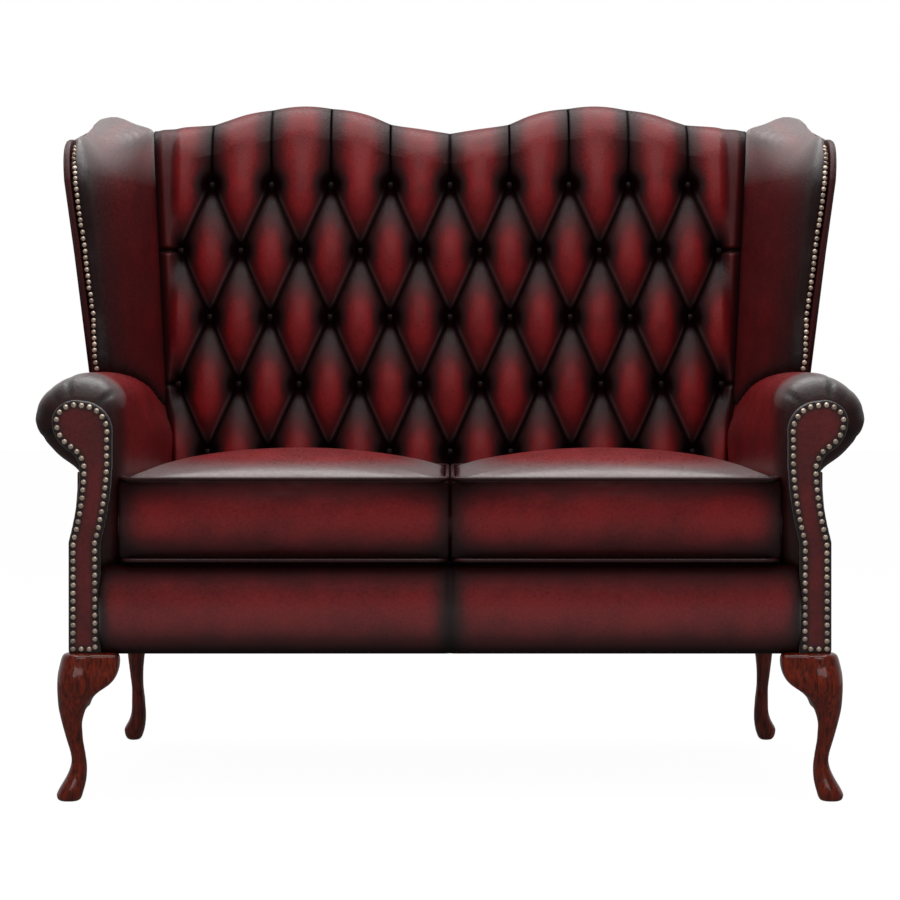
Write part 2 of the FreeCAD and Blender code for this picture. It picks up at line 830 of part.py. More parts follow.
def ear_path():
    """Outline of the curved bracket beside a knee: distance from the leg's axis, and height."""
    def corner(reach, drop):
        return V(reach * ear_reach, leg_height - drop * ear_drop, 0)

    lobe = bend_points(corner(1, 0.2), corner(0.95, 0.5), corner(0.67, 0.61), ear_facets)
    hollow = bend_points(corner(0.67, 0.61), corner(0.3, 0.75), corner(0.18, 1), ear_facets)
    curve = [(point.x, point.y) for point in lobe + hollow[1:]]
    return [(0, leg_height), (ear_reach, leg_height)] + curve + [(0, leg_height - ear_drop)]


def front_leg():
    x, y = front_leg_x, front_y - toe_reach + front_rings[1][1] + front_rings[1][2]
    leg = turned_leg(front_rings, x, y, -1)
    half = ear_width / 2
    inward = lengthwise([(x - reach, z) for reach, z in ear_path()], y - half, y + half)
    rearward = across([(y + reach, z) for reach, z in ear_path()], x - half, x + half)
    return leg.fuse([inward, rearward]).cut(bolt_hole(front_bolt))


def rear_leg():
    leg = turned_leg(rear_rings, rear_bolt[0] + rear_leg_out, rear_bolt[1], 1)
    return leg.cut(bolt_hole(rear_bolt))


# Suspension and covers

def spring_places():
    half = seat_width_rear / 2 - spring_margin
    return [-half + 2 * half * i / (spring_count - 1) for i in range(spring_count)]


def spring_ends():
    return rail_rear - rail_thickness / 3, rear_y(rail_top, panel_thickness + rail_thickness / 2)


def seat_springs():
    """Flat zigzag springs that lie on the front and rear rails."""
    start, end = spring_ends()
    runs = round((end - start) / spring_step)
    step = (end - start) / runs
    thick = wire_size * math.hypot(2 * spring_reach, step) / (4 * spring_reach)
    mitre = thick * 2 * spring_reach / step
    springs = []
    for x in spring_places():
        left, right = [], []
        for i in range(runs + 1):
            side = (-1) ** i
            turn = V(x + side * spring_reach, start + step * i, rail_top)
            corner = V(mitre, 0, 0)
            if i in (0, runs):
                corner = V(0, side * thick if i == 0 else -side * thick, 0)
            left.append(turn - corner)
            right.append(turn + corner)
        springs.append(drawn_up(left + right[::-1], wire_size))
    return Part.makeCompound(springs)


def spring_clips():
    low = rail_top + wire_size
    clips = []
    for x in spring_places():
        for y in spring_ends():
            clips.append(block(x - spring_reach, x + spring_reach, y - clip_reach, y + clip_reach,
                               low, low + clip_thickness))
    return Part.makeCompound(clips)


def seat_deck():
    """Lined platform under the cushions."""
    front = rail_front + lip_depth + seat_gap
    rear = rear_y(deck_top, panel_thickness)
    ends = [(-1, front), (1, front), (1, rear), (-1, rear)]
    corners = [V(side * (arm_inner(y) - soft_gap), y, deck_top - deck_thickness) for side, y in ends]
    deck = drawn_up(corners, deck_thickness)
    return deck.cut(behind(panel_thickness))


def border_path(back):
    """Side outline of the padded border of the front rail, moved back by a little for its seam."""
    lip_top = rail_top + lip_thickness
    return [
        (rail_front, leg_height),
        (front_y + border_bulge / 3 + back, leg_height),
        ((front_y + 1.0 + back, leg_height + rail_height / 2),
         (front_y + border_bulge / 3 + back, rail_top - 6.0)),
        ((front_y + border_bulge / 2 + back, rail_top + 2.0), (rail_front, lip_top - back)),
        (rail_front + lip_depth, lip_top - back),
        (rail_front + lip_depth, rail_top),
        (rail_front, rail_top),
    ]


def front_border():
    half = facing_inner - seat_gap
    border = across(border_path(0), -half, half)
    seam_half_width = seam_groove / 2
    groove = across(border_path(0), -seam_half_width, seam_half_width)
    return border.cut(groove.cut(across(border_path(seam_groove), -seam_half_width, seam_half_width)))


def outside_back():
    """Leather-covered panel that closes the back from the legs to the crest."""
    drop = panel_thickness + seat_gap
    shoulder_z = crest_low - corner_round
    rear = [(wing_outside(rear_y(z, panel_thickness), z), z) for z in (arm_height, shoulder_z)]
    top = (rear[1][0] - corner_round / 2, crest(rear[1][0] - corner_round / 2) - drop)
    half = [
        (arm_floor_half, leg_height),
        (arm_floor_half, side_bend_z),
        (roll_x, waist_z),
        rear[0],
        rear[1],
        top,
    ]
    path = half + crest_arcs(top[0], drop) + [(-x, z) for x, z in half[-2::-1]]
    return leaning(path, 0, panel_thickness)


def dust_cover():
    """Lining under the seat frame, clear of the legs."""
    cover = block(-side_rail_outer, side_rail_outer, rail_front, rear_base_y - back_post_depth,
                  leg_height - cloth_thickness, leg_height)
    notch = ear_reach + post_thickness
    for side in (-1, 1):
        x = side * front_leg_x
        for y in (front_y, rear_base_y):
            cover = cover.cut(block(x - notch, x + notch, y - notch * 1.5, y + notch * 1.5, 0, leg_height))
    return cover


# Seat cushions

def cushion_plan(inset, z):
    """Corners of the right cushion at a height, drawn in from its seams."""
    room = 2 * piping_radius + seat_gap + cushion_gap + inset
    front = front_y + cushion_setback + inset
    rear = back_y(z) - room
    return [V(room, front, z), V(arm_inner(front) - room, front, z),
            V(arm_inner(rear) - room, rear, z), V(room, rear, z)]


def block_between(low, high):
    """Solid between two four-cornered outlines."""
    faces = [polygon(low), polygon(high)]
    faces += strips([low + low[:1], high + high[:1]])
    return solid_of(faces)


def cushion_seams():
    return deck_top + seat_gap + piping_radius, seat_height


def cushion_core():
    low, high = cushion_seams()
    return block_between(cushion_plan(wrap_thickness, low + wrap_thickness / 2),
                         cushion_plan(wrap_thickness, high - wrap_thickness / 2))


def crowned(corners, rise):
    """Cushion face over four corners, with a crown of the given rise."""
    a, b, c, d = corners
    middle = (a + b + c + d) / 4 + V(0, 0, 4 * rise)
    return patch([[a, (a + b) / 2, b], [(a + d) / 2, middle, (b + c) / 2], [d, (c + d) / 2, c]],
                 cushion_facets, cushion_facets)


def cushion_side(low, high, start, end, out):
    """Border of the cushion between its two seams, bulging by out."""
    a, b = low[start], low[end]
    c, d = high[start], high[end]
    swell = 4 * out * V(0, -1, 0) if start == 0 else V(0, 0, 0)
    middle = (a + b + c + d) / 4 + swell
    rows = [[a, (a + b) / 2, b], [(a + c) / 2, middle, (b + d) / 2], [c, (c + d) / 2, d]]
    return patch(rows, cushion_facets, cushion_facets)


def cushion_cover():
    """Leather and fibre wrap: crowned top, bulging front, room for the foam core."""
    low_z, high_z = cushion_seams()
    low, high = cushion_plan(0, low_z), cushion_plan(0, high_z)
    faces = crowned(high, cushion_crown) + crowned(low, -piping_radius)
    for start in range(4):
        faces += cushion_side(low, high, start, (start + 1) % 4, cushion_bulge)
    return solid_of(faces).cut(cushion_core())


def cushion_piping():
    """Corded seams round the top and the bottom of the cushion."""
    cords = []
    for z in cushion_seams():
        lines = []
        for i in range(piping_sides + 1):
            turn = 2 * math.pi * i / piping_sides
            out = seat_gap + piping_radius * (1 + math.cos(turn))
            loop = cushion_plan(-out, z + piping_radius * math.sin(turn))
            lines.append(loop + loop[:1])
        cords.append(solid_of(strips(lines)))
    return Part.makeCompound(cords)


# Trim

def stud(radius, height):
    """Small six-sided head that points to -Y, with its base at the origin."""
    turns = [math.radians(60 * i) for i in range(7)]
    base = [V(radius * math.cos(a), 0, radius * math.sin(a)) for a in turns]
    top = [V(0, -height, 0) for a in turns]
    return solid_of(strips([base, top]) + [polygon(base[:-1])])


def at_buttons(shape, seat):
    """Copies of a shape at every button place, in front of its pit by seat."""
    copies = []
    for row in range(1, 6):
        first = 8 if row % 2 else 9
        for column in range(-first, first + 1, 2):
            copy = shape.copy()
            copy.translate(knot(column, row) - V(0, seat, 0))
            copies.append(copy)
    return copies


def button_seat():
    """Distance from a pit to a button's rim, which sinks a little into the pad's slope."""
    return 8 * (pit_depth - pleat_depth) / button_pitch * button_radius - button_sink


def back_buttons():
    """Covered buttons, each drawn into its pit."""
    return Part.makeCompound(at_buttons(stud(button_radius, button_height), button_seat()))


def button_pocket():
    """Room that a button takes up in the pad, with a clearance."""
    rim = stud(button_radius + soft_gap, button_height).Faces[-1]
    rim = rim.extrude(V(0, -pit_depth, 0))
    rim.translate(V(0, soft_gap, 0))
    return rim


def arm_nails():
    """Nails round the scroll facing."""
    line = facing_outline(front_y, -nail_inset).OuterWire
    count = round(line.Length / nail_spacing)
    head = stud(nail_radius, nail_height)
    heads = []
    for place in line.discretize(count + 1)[:-1]:
        nail = head.copy()
        nail.translate(place)
        heads.append(nail)
    return Part.makeCompound(heads)


def wing_nails():
    """Nails down the front edge of the wing."""
    edges = trace(wing_path, lambda y, z: V(0, y, z)).Edges[:2]
    head = stud(nail_radius, nail_height)
    heads = []
    for edge in edges:
        count = round(edge.Length / wing_nail_spacing)
        for i in range(count):
            at = edge.FirstParameter + (edge.LastParameter - edge.FirstParameter) * (i + 0.5) / count
            place = edge.valueAt(at)
            along = edge.tangentAt(at)
            if arm_height + nail_radius < place.z < crest_low - wing_nail_drop:
                nail = head.copy()
                nail.rotate(V(0, 0, 0), V(1, 0, 0), -math.degrees(math.atan2(along.y, along.z)))
                lift = V(0, -along.z, along.y) * seat_gap / 2
                nail.translate(place + lift + V(wing_outside(place.y, place.z) - 1.5 * nail_inset, 0, 0))
                heads.append(nail)
    return Part.makeCompound(heads)


# Export

pairs = {
    "arm_facing": arm_facing,
    "front_post": lambda: front_post(0),
    "arm_rail": arm_rail,
    "arm_pad": arm_pad,
    "outside_arm": outside_arm,
    "arm_nails": arm_nails,
    "wing_board": wing_board,
    "wing_pad": wing_pad,
    "outside_wing": outside_wing,
    "wing_nails": wing_nails,
    "back_post": lambda: back_post().cut(bolt_hole(rear_bolt)),
    "side_rail": side_rail,
    "front_leg": front_leg,
    "rear_leg": rear_leg,
    "cushion_cover": cushion_cover,
    "cushion_core": cushion_core,
    "cushion_piping": cushion_piping,
}
singles = {
    "front_seat_rail": front_seat_rail,
    "rear_seat_rail": rear_seat_rail,
    "centre_brace": centre_brace,
    "corner_blocks": corner_blocks,
    "back_top_rail": back_top_rail,
    "back_lower_rail": lambda: back_rail(lower_rail_z, lower_rail_z + lower_rail_height),
    "back_slat": back_slat,
    "back_webbing": back_webbing,
    "leg_bolts": leg_bolts,
    "seat_springs": seat_springs,
    "spring_clips": spring_clips,
    "seat_deck": seat_deck,
    "front_border": front_border,
    "back_pad": back_pad,
    "back_buttons": back_buttons,
    "outside_back": outside_back,
    "dust_cover": dust_cover,
}


def main():
    os.makedirs("parts", exist_ok=True)
    for name, make in singles.items():
        make().exportStep("parts/" + name + ".step")
    for name, make in pairs.items():
        shape = make()
        shape.exportStep("parts/right_" + name + ".step")
        mirrored(shape).exportStep("parts/left_" + name + ".step")


if __name__ == "__main__":
    main()
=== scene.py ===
import json
import math

import bpy
import numpy as np
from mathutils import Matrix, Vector
from mathutils.bvhtree import BVHTree
from mathutils.kdtree import KDTree

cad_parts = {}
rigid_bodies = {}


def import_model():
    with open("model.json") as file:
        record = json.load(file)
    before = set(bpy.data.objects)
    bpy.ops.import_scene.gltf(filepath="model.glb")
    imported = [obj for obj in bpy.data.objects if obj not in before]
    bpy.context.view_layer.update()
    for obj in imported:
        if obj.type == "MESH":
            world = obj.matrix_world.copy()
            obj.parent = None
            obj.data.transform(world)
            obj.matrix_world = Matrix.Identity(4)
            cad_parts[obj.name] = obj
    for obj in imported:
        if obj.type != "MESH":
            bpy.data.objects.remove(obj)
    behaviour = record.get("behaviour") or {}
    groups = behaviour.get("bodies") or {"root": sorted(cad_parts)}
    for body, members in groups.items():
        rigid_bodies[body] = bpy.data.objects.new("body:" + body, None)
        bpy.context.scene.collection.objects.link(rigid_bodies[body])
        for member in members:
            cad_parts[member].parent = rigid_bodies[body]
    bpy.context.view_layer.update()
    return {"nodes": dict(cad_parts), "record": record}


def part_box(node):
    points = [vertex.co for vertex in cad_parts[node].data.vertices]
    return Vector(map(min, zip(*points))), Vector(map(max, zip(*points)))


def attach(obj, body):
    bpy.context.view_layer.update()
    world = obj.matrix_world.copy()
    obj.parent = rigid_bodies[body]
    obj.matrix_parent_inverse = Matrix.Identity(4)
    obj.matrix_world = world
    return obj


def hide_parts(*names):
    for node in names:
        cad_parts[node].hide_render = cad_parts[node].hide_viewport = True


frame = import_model()

bl_info = {
    "name": "Wing-back buttoned sofa",
    "version": (1, 0, 0),
    "blender": (4, 5, 0),
    "location": "View3D > Sidebar > Sofa",
    "description": "Dresses the sofa's frame in buttoned leather, brass nails and polished legs",
    "category": "Object",
}

SIDES = (("left", -1), ("right", 1))

# Back, in metres: top of the seat, seam to the wings, raked front face, raked rear face and its cover
SEAT_LEVEL = 0.497
SEAM_AT_SEAT, SEAM_SPREAD = 0.494, 0.069
FRONT_AT_SEAT, FRONT_RAKE = 0.145, math.radians(13)
FRAME_LEVEL, REAR_AT_FRAME, REAR_RAKE = 0.227, 0.299, math.radians(7)
OUTSIDE_COVER = 0.006

# Buttons: the outermost stand nine half pitches from the middle, and four rows lie under the first
OUTER_BUTTON, LOWER_ROWS = 9, 4
# Rows whose outermost button has a level pleat to the wing
LEVEL_PLEAT_ROWS = (1, 3)

# Middle of the arm's scroll, from the sofa's middle and from the floor
SCROLL_ACROSS, SCROLL_UP = 0.576, 0.590
# Pleats of the arm's front: place round the scroll in degrees, and strength; then width, depth and the painted shade
# in each fold
PLEATS = ((207, 1.0), (170, 0.5), (137, 0.6), (106, 1.0), (70, 0.6), (36, 1.0))
PLEAT_WIDTH, PLEAT_DEPTH, PLEAT_SHADE = 5.0, 0.05, 0.85

# Radius and height of the domed heads
NAIL_HEAD = (0.0042, 0.0029)
BUTTON_HEAD = (0.0078, 0.005)

# Radius of the corded seams of panels and seat cushions
WELT, PIPING = 0.003, 0.0032

# Camera fitted to the photograph: width, focal length and tilt in its pixels
PHOTO_WIDTH, FOCAL, TILT = 900, 2728, 95
SENSOR = 36.0
EYE = (0, -4.585, 0.688)

# Soft boxes: name, place, target, width, height, watts, and whether the leather mirrors them
LIGHTS = (
    ("key", (-1.4, -3.4, 3.0), (0, 0, 0.6), 1.8, 1.8, 23, False),
    ("fill", (1.6, -3.6, 2.6), (0, 0, 0.6), 1.8, 1.8, 18, False),
    ("front", (0, -2.2, 2.6), (0, 0, 0.6), 2.6, 1.0, 12, True),
    ("top", (0, 0.4, 2.7), (0, 0.3, 0.5), 3.0, 2.8, 75, True),
)


# Colours and nodes

def linear(code):
    """Linear colour from an sRGB hex value."""
    shares = [int(code[i:i + 2], 16) / 255 for i in (1, 3, 5)]
    return [s / 12.92 if s <= 0.04045 else ((s + 0.055) / 1.055) ** 2.4 for s in shares]


def add(tree, kind, links=None, **settings):
    """Adds a node: settings are its properties, links its inputs, each a socket or a value."""
    made = tree.nodes.new(kind)
    for key, value in settings.items():
        setattr(made, key, value)
    for key, value in (links or {}).items():
        socket = made.inputs[key]
        if isinstance(value, bpy.types.NodeSocket):
            tree.links.new(value, socket)
        else:
            socket.default_value = value
    return made


def scaled(tree, value, factor, offset):
    """Socket with value times factor plus offset."""
    return add(tree, "ShaderNodeMath", {0: value, 1: factor, 2: offset}, operation="MULTIPLY_ADD").outputs[0]


def times(tree, value, factor):
    """Socket with the product of two values."""
    return add(tree, "ShaderNodeMath", {0: value, 1: factor}, operation="MULTIPLY").outputs[0]


def two_tone(tree, shader, value, colour, dark_share, low=0.0, high=1.0):
    """Colours a shader from a dark share of the colour to the colour itself as value rises from low to high."""
    ramp = add(tree, "ShaderNodeValToRGB", {"Fac": value})
    dark, light = ramp.color_ramp.elements
    dark.position, light.position = low, high
    dark.color = [dark_share * c for c in colour] + [1]
    light.color = [*colour, 1]
    tree.links.new(ramp.outputs["Color"], shader.inputs["Base Color"])


# Settings of the add-on

def length(name, description, default):
    return bpy.props.FloatProperty(name=name, description=description, default=default, unit="LENGTH")


def tint(name, description, code):
    return bpy.props.FloatVectorProperty(name=name, description=description, subtype="COLOR", default=linear(code))


class SofaSizes(bpy.types.PropertyGroup):
    """Sizes of the upholstery in metres."""
    row_first: length("First button row", "Height of the top row of buttons", 0.9905)
    row_pitch: length("Row pitch", "Height between button rows", 0.118)
    button_pitch: length("Button pitch", "Distance between buttons in a row", 0.106)
    pit_depth: length("Pit depth", "Depth of the button pits behind the crowns", 0.042)
    pleat_depth: length("Pleat depth", "Depth of the pleats halfway between buttons", 0.024)
    grid: length("Back grid", "Spacing of the buttoned back's mesh", 0.0023)
    voxel: length("Pad voxel", "Voxel size of the padded wings and arms", 0.0045)
    swell: length("Cushion swell", "Most that a cushion point may move when it is filled", 0.022)


class SofaColours(bpy.types.PropertyGroup):
    """Colours of the leather, metal, wood and floor."""
    # The rubbed red also carries painted highlights; the waxed colour serves for dark wax and for painted shade along
    # seams and folds; the crease colour is painted shade in pits and creases
    crown: tint("Rubbed leather", "Leather where hands and cloth have rubbed the dark wax off", "#7a1619")
    body: tint("Leather", "Leather between the rubbed and the waxed places", "#480d10")
    shade: tint("Waxed leather", "Leather along seams and folds", "#260c0d")
    painted_crease_shade: tint("Crease", "Leather at the bottom of pits and creases", "#080203")
    brass: tint("Nails", "Antique brass nail heads", "#ecd6c2")
    wood: tint("Legs", "Polished mahogany", "#7a2104")
    floor: tint("Floor", "Studio floor and background", "#ffffff")


def sizes():
    return bpy.context.scene.sofa_sizes


def colours():
    return bpy.context.scene.sofa_colours


# Materials

def new_material(name):
    material = bpy.data.materials.new(name)
    material.use_nodes = True
    tree = material.node_tree
    return material, tree, tree.nodes["Principled BSDF"]


def leather():
    """Hand-rubbed antiqued leather: red crowns and painted highlights, dark wax and painted shade in creases, a soft
    sheen over a fine grain.
    """
    if "rubbed_leather" in bpy.data.materials:
        return bpy.data.materials["rubbed_leather"]
    material, tree, shader = new_material("rubbed_leather")
    place = add(tree, "ShaderNodeTexCoord").outputs["Object"]
    wear_and_painted_light = add(tree, "ShaderNodeAttribute", attribute_name="wear_and_painted_light").outputs["Fac"]
    # Cloudy patches about 60 mm across, where the wax was rubbed unevenly
    cloud = add(tree, "ShaderNodeTexNoise", {"Vector": place, "Scale": 16.0, "Detail": 4.0, "Roughness": 0.6})
    # Speckle of the grain about 5 mm across, coarser than the real pores so that it shows
    speckle = add(tree, "ShaderNodeTexNoise", {"Vector": place, "Scale": 190.0, "Detail": 3.0, "Roughness": 0.65})
    # Both count as shares of the rubbed amount, so creases stay dark with wax and painted shade
    cloud_share, speckle_share, even_share = 0.7, 0.3, 0.5
    worn_and_shaded = scaled(tree, cloud.outputs["Fac"], cloud_share, even_share)
    worn_and_shaded = scaled(tree, speckle.outputs["Fac"], speckle_share, worn_and_shaded)
    worn_and_shaded = times(tree, worn_and_shaded, wear_and_painted_light)
    # The ramp runs from painted shade in pits and creases, through the waxed colour, to the rubbed red
    ramp = add(tree, "ShaderNodeValToRGB", {"Fac": worn_and_shaded})
    tints = colours()
    ramp.color_ramp.elements[0].position = 0.0
    ramp.color_ramp.elements[0].color = (*tints.painted_crease_shade, 1)
    ramp.color_ramp.elements[1].position = 0.95
    ramp.color_ramp.elements[1].color = (*tints.crown, 1)
    for place_on_ramp, colour in ((0.24, tints.shade), (0.55, tints.body)):
        ramp.color_ramp.elements.new(place_on_ramp).color = (*colour, 1)
    tree.links.new(ramp.outputs["Color"], shader.inputs["Base Color"])
    # Pebbled grain of 3.5 mm cells, raised by a fraction of a millimetre
    cells = add(tree, "ShaderNodeTexVoronoi", {"Vector": place, "Scale": 290.0}, feature="F1")
    pebble = scaled(tree, cells.outputs["Distance"], 0.35, speckle.outputs["Fac"])
    bump = add(tree, "ShaderNodeBump", {"Height": pebble, "Strength": 0.45, "Distance": 0.0008})
    tree.links.new(bump.outputs["Normal"], shader.inputs["Normal"])
    # Rubbed places and those with sheen are polished, the wax in the creases is duller
    sheen = add(tree, "ShaderNodeAttribute", attribute_name="sheen").outputs["Fac"]
    roughness = scaled(tree, speckle.outputs["Fac"], 0.5, 0.3)
    roughness = scaled(tree, wear_and_painted_light, -0.2, roughness)
    roughness = scaled(tree, sheen, -0.1, roughness)
    tree.links.new(roughness, shader.inputs["Roughness"])
    shader.inputs["IOR"].default_value = 1.5
    tree.links.new(sheen, shader.inputs["Specular IOR Level"])
    # Pale bloom of the wax where the leather mirrors most
    bloom = add(tree, "ShaderNodeMapRange", {"Value": sheen, "From Min": 0.5, "From Max": 1.0, "To Max": 0.35})
    tree.links.new(bloom.outputs["Result"], shader.inputs["Sheen Weight"])
    return material


def brass():
    """Antique brass nail heads: dull yellow metal, darker where polish doesn't reach."""
    if "antique_brass" in bpy.data.materials:
        return bpy.data.materials["antique_brass"]
    material, tree, shader = new_material("antique_brass")
    place = add(tree, "ShaderNodeTexCoord").outputs["Object"]
    # Tarnish that changes from head to head, about 15 mm
    tarnish = add(tree, "ShaderNodeTexNoise", {"Vector": place, "Scale": 70.0, "Detail": 2.0})
    two_tone(tree, shader, tarnish.outputs["Fac"], colours().brass, dark_share=0.45, low=0.3, high=0.62)
    shader.inputs["Metallic"].default_value = 0.7
    shader.inputs["Roughness"].default_value = 0.35
    return material


def mahogany():
    """French-polished mahogany: deep red wood with dark straight grain under a gloss coat."""
    if "polished_mahogany" in bpy.data.materials:
        return bpy.data.materials["polished_mahogany"]
    material, tree, shader = new_material("polished_mahogany")
    place = add(tree, "ShaderNodeTexCoord").outputs["Object"]
    # Grain drawn out along the leg: about 4 mm wide and ten times as long
    stretch = add(tree, "ShaderNodeMapping", {"Vector": place, "Scale": (1.0, 1.0, 0.1)})
    grain = add(tree, "ShaderNodeTexNoise", {"Vector": stretch.outputs["Vector"], "Scale": 240.0, "Detail": 4.0,
                                             "Roughness": 0.6, "Distortion": 0.4})
    two_tone(tree, shader, grain.outputs["Fac"], colours().wood, dark_share=0.16, low=0.34, high=0.7)
    shader.inputs["Roughness"].default_value = 0.3
    shader.inputs["Specular IOR Level"].default_value = 0.1
    shader.inputs["Coat Weight"].default_value = 1.0
    shader.inputs["Coat Roughness"].default_value = 0.12
    return material


def plain_finish(name, code, grain_mm, roughness, metallic=0.0):
    """Hidden pieces: raw beech, woven lining, jute, foam or steel, with a grain of the given size."""
    if name in bpy.data.materials:
        return bpy.data.materials[name]
    material, tree, shader = new_material(name)
    place = add(tree, "ShaderNodeTexCoord").outputs["Object"]
    grain = add(tree, "ShaderNodeTexNoise", {"Vector": place, "Scale": 1000.0 / grain_mm, "Detail": 3.0})
    two_tone(tree, shader, grain.outputs["Fac"], linear(code), dark_share=0.55)
    bump = add(tree, "ShaderNodeBump", {"Height": grain.outputs["Fac"], "Strength": 0.3, "Distance": 0.0005})
    tree.links.new(bump.outputs["Normal"], shader.inputs["Normal"])
    shader.inputs["Roughness"].default_value = roughness
    shader.inputs["Metallic"].default_value = metallic
    return material


# Mesh tools

def deselect():
    if bpy.context.object and bpy.context.object.mode != "OBJECT":
        bpy.ops.object.mode_set(mode="OBJECT")
    bpy.ops.object.select_all(action="DESELECT")


def pick(*pieces):
    """Selects pieces and makes the first active."""
    deselect()
    for piece in pieces:
        piece.select_set(True)
    bpy.context.view_layer.objects.active = pieces[0]


def points_of(piece):
    spots = np.empty(len(piece.data.vertices) * 3)
    piece.data.vertices.foreach_get("co", spots)
    return spots.reshape(-1, 3)


def place_points(piece, spots):
    piece.data.vertices.foreach_set("co", np.ascontiguousarray(spots).ravel())
    piece.data.update()


def pairs_of(piece):
    ends = np.empty(len(piece.data.edges) * 2, dtype=np.int32)
    piece.data.edges.foreach_get("vertices", ends)
    return ends.reshape(-1, 2)


def relax(spots, pairs, rounds):
    """Smooths a mesh by moving each point halfway to its neighbours' middle, in rounds."""
    count = np.bincount(pairs.ravel(), minlength=len(spots))
    for _ in range(rounds):
        middle = np.empty_like(spots)
        for axis in range(3):
            column = spots[:, axis]
            total = np.bincount(pairs[:, 0], column[pairs[:, 1]], len(spots))
            total += np.bincount(pairs[:, 1], column[pairs[:, 0]], len(spots))
            middle[:, axis] = total / count
        spots = (spots + middle) / 2
    return spots


def smooth_step(low, high, value):
    share = np.clip((value - low) / (high - low), 0, 1)
    return share * share * (3 - 2 * share)


def bell(value, middle, width):
    """Bell curve of height 1."""
    return np.exp(-((value - middle) / width) ** 2)


def set_wear_and_painted_light(piece, wear_and_painted_light, sheen=0.5):
    """Stores how far the wax is rubbed off together with painted shade and highlights, 0 in shaded creases to 1 on
    crowns, and how much light the leather mirrors.
    """
    count = len(piece.data.vertices)
    for name, values in (("wear_and_painted_light", wear_and_painted_light), ("sheen", sheen)):
        if name in piece.data.attributes:
            piece.data.attributes.remove(piece.data.attributes[name])
        layer = piece.data.attributes.new(name, "FLOAT", "POINT")
        layer.data.foreach_set("value", np.clip(np.broadcast_to(values, count), 0, 1).astype(np.float32))


def copy_of(name, nodes):
    """One merged copy of CAD nodes."""
    pick(*[frame["nodes"][node] for node in nodes])
    bpy.ops.object.duplicate()
    if len(nodes) > 1:
        bpy.ops.object.join()
    piece = bpy.context.object
    bpy.ops.object.parent_clear(type="CLEAR_KEEP_TRANSFORM")
    piece.name = name
    piece.data.name = name
    piece.data.materials.clear()
    # Normals stored with the CAD mesh would be carried on to the remeshed piece and bend its shading
    if piece.data.has_custom_normals:
        bpy.ops.mesh.customdata_custom_splitnormals_clear()
    bpy.ops.object.mode_set(mode="EDIT")
    bpy.ops.mesh.select_all(action="SELECT")
    bpy.ops.mesh.remove_doubles(threshold=1e-5)
    bpy.ops.object.mode_set(mode="OBJECT")
    return piece


def puff(piece, amount):
    """Moves every point outwards, to give back what rounding the edges took."""
    piece.data.update()
    normals = np.empty(len(piece.data.vertices) * 3)
    piece.data.vertices.foreach_get("normal", normals)
    place_points(piece, points_of(piece) + normals.reshape(-1, 3) * amount)


def remeshed(name, nodes, voxel, rounds):
    """Padded piece from a copy of CAD nodes, as one even mesh with its edges rounded."""
    piece = copy_of(name, nodes)
    piece.data.remesh_voxel_size = voxel
    piece.data.use_remesh_preserve_volume = False
    piece.data.use_remesh_fix_poles = False
    bpy.ops.object.voxel_remesh()
    place_points(piece, relax(points_of(piece), pairs_of(piece), rounds))
    return piece


def softened(piece, share, rounds):
    """Rounds a piece further where share is 1."""
    spots = points_of(piece)
    place_points(piece, spots + share[:, None] * (relax(spots, pairs_of(piece), rounds) - spots))


def edge_wear_and_shade(piece, reach, strength):
    """Rubbed amount from the distance to the piece's edges: flat places are rubbed, edges stay dark with wax and
    painted shade.
    """
    spots, pairs = points_of(piece), pairs_of(piece)
    moved = np.linalg.norm(relax(spots, pairs, reach) - spots, axis=1)
    return 1 - smooth_step(0, strength, moved)


def rim_distance(piece):
    """Distance of each point of an upright board from its rim."""
    piece.data.update()
    rim = [point.co.copy() for point in piece.data.vertices if abs(point.normal.y) < 0.6]
    tree = KDTree(len(rim))
    for index, spot in enumerate(rim):
        tree.insert(spot, index)
    tree.balance()
    return np.array([tree.find(point.co)[2] for point in piece.data.vertices])


def smooth_shade(piece):
    pick(piece)
    bpy.ops.object.shade_smooth()


def board(name, node):
    """Copy of a CAD board with each flat side as one face."""
    piece = copy_of(name, [node])
    bpy.ops.object.mode_set(mode="EDIT")
    bpy.ops.mesh.select_all(action="SELECT")
    bpy.ops.mesh.dissolve_limited(angle_limit=math.radians(3))
    bpy.ops.object.mode_set(mode="OBJECT")
    return piece


def panel(name, node, bevel):
    """Covered panel: the CAD board with rounded edges."""
    piece = board(name, node)
    rounding = piece.modifiers.new("Rounding", "BEVEL")
    rounding.width = bevel
    rounding.segments = 3
    rounding.limit_method = "ANGLE"
    rounding.angle_limit = math.radians(35)
    bpy.ops.object.modifier_apply(modifier=rounding.name)
    bpy.ops.object.shade_smooth_by_angle(angle=math.radians(40))
    return piece


def tubes(name, paths, radius):
    """Leather cords along closed lines, as one mesh."""
    cords = []
    for path in paths:
        curve = bpy.data.curves.new(name, "CURVE")
        curve.dimensions = "3D"
        line = curve.splines.new("POLY")
        line.points.add(len(path) - 1)
        for point, spot in zip(line.points, path):
            point.co = (*spot, 1)
        line.use_cyclic_u = True
        curve.bevel_depth = radius
        curve.bevel_resolution = 2
        cord = bpy.data.objects.new(name, curve)
        bpy.context.scene.collection.objects.link(cord)
        cords.append(cord)
    pick(*cords)
    bpy.ops.object.convert(target="MESH")
    if len(cords) > 1:
        bpy.ops.object.join()
    piece = bpy.context.object
    piece.name = name
    piece.data.name = name
    bpy.ops.object.shade_smooth()
    return piece


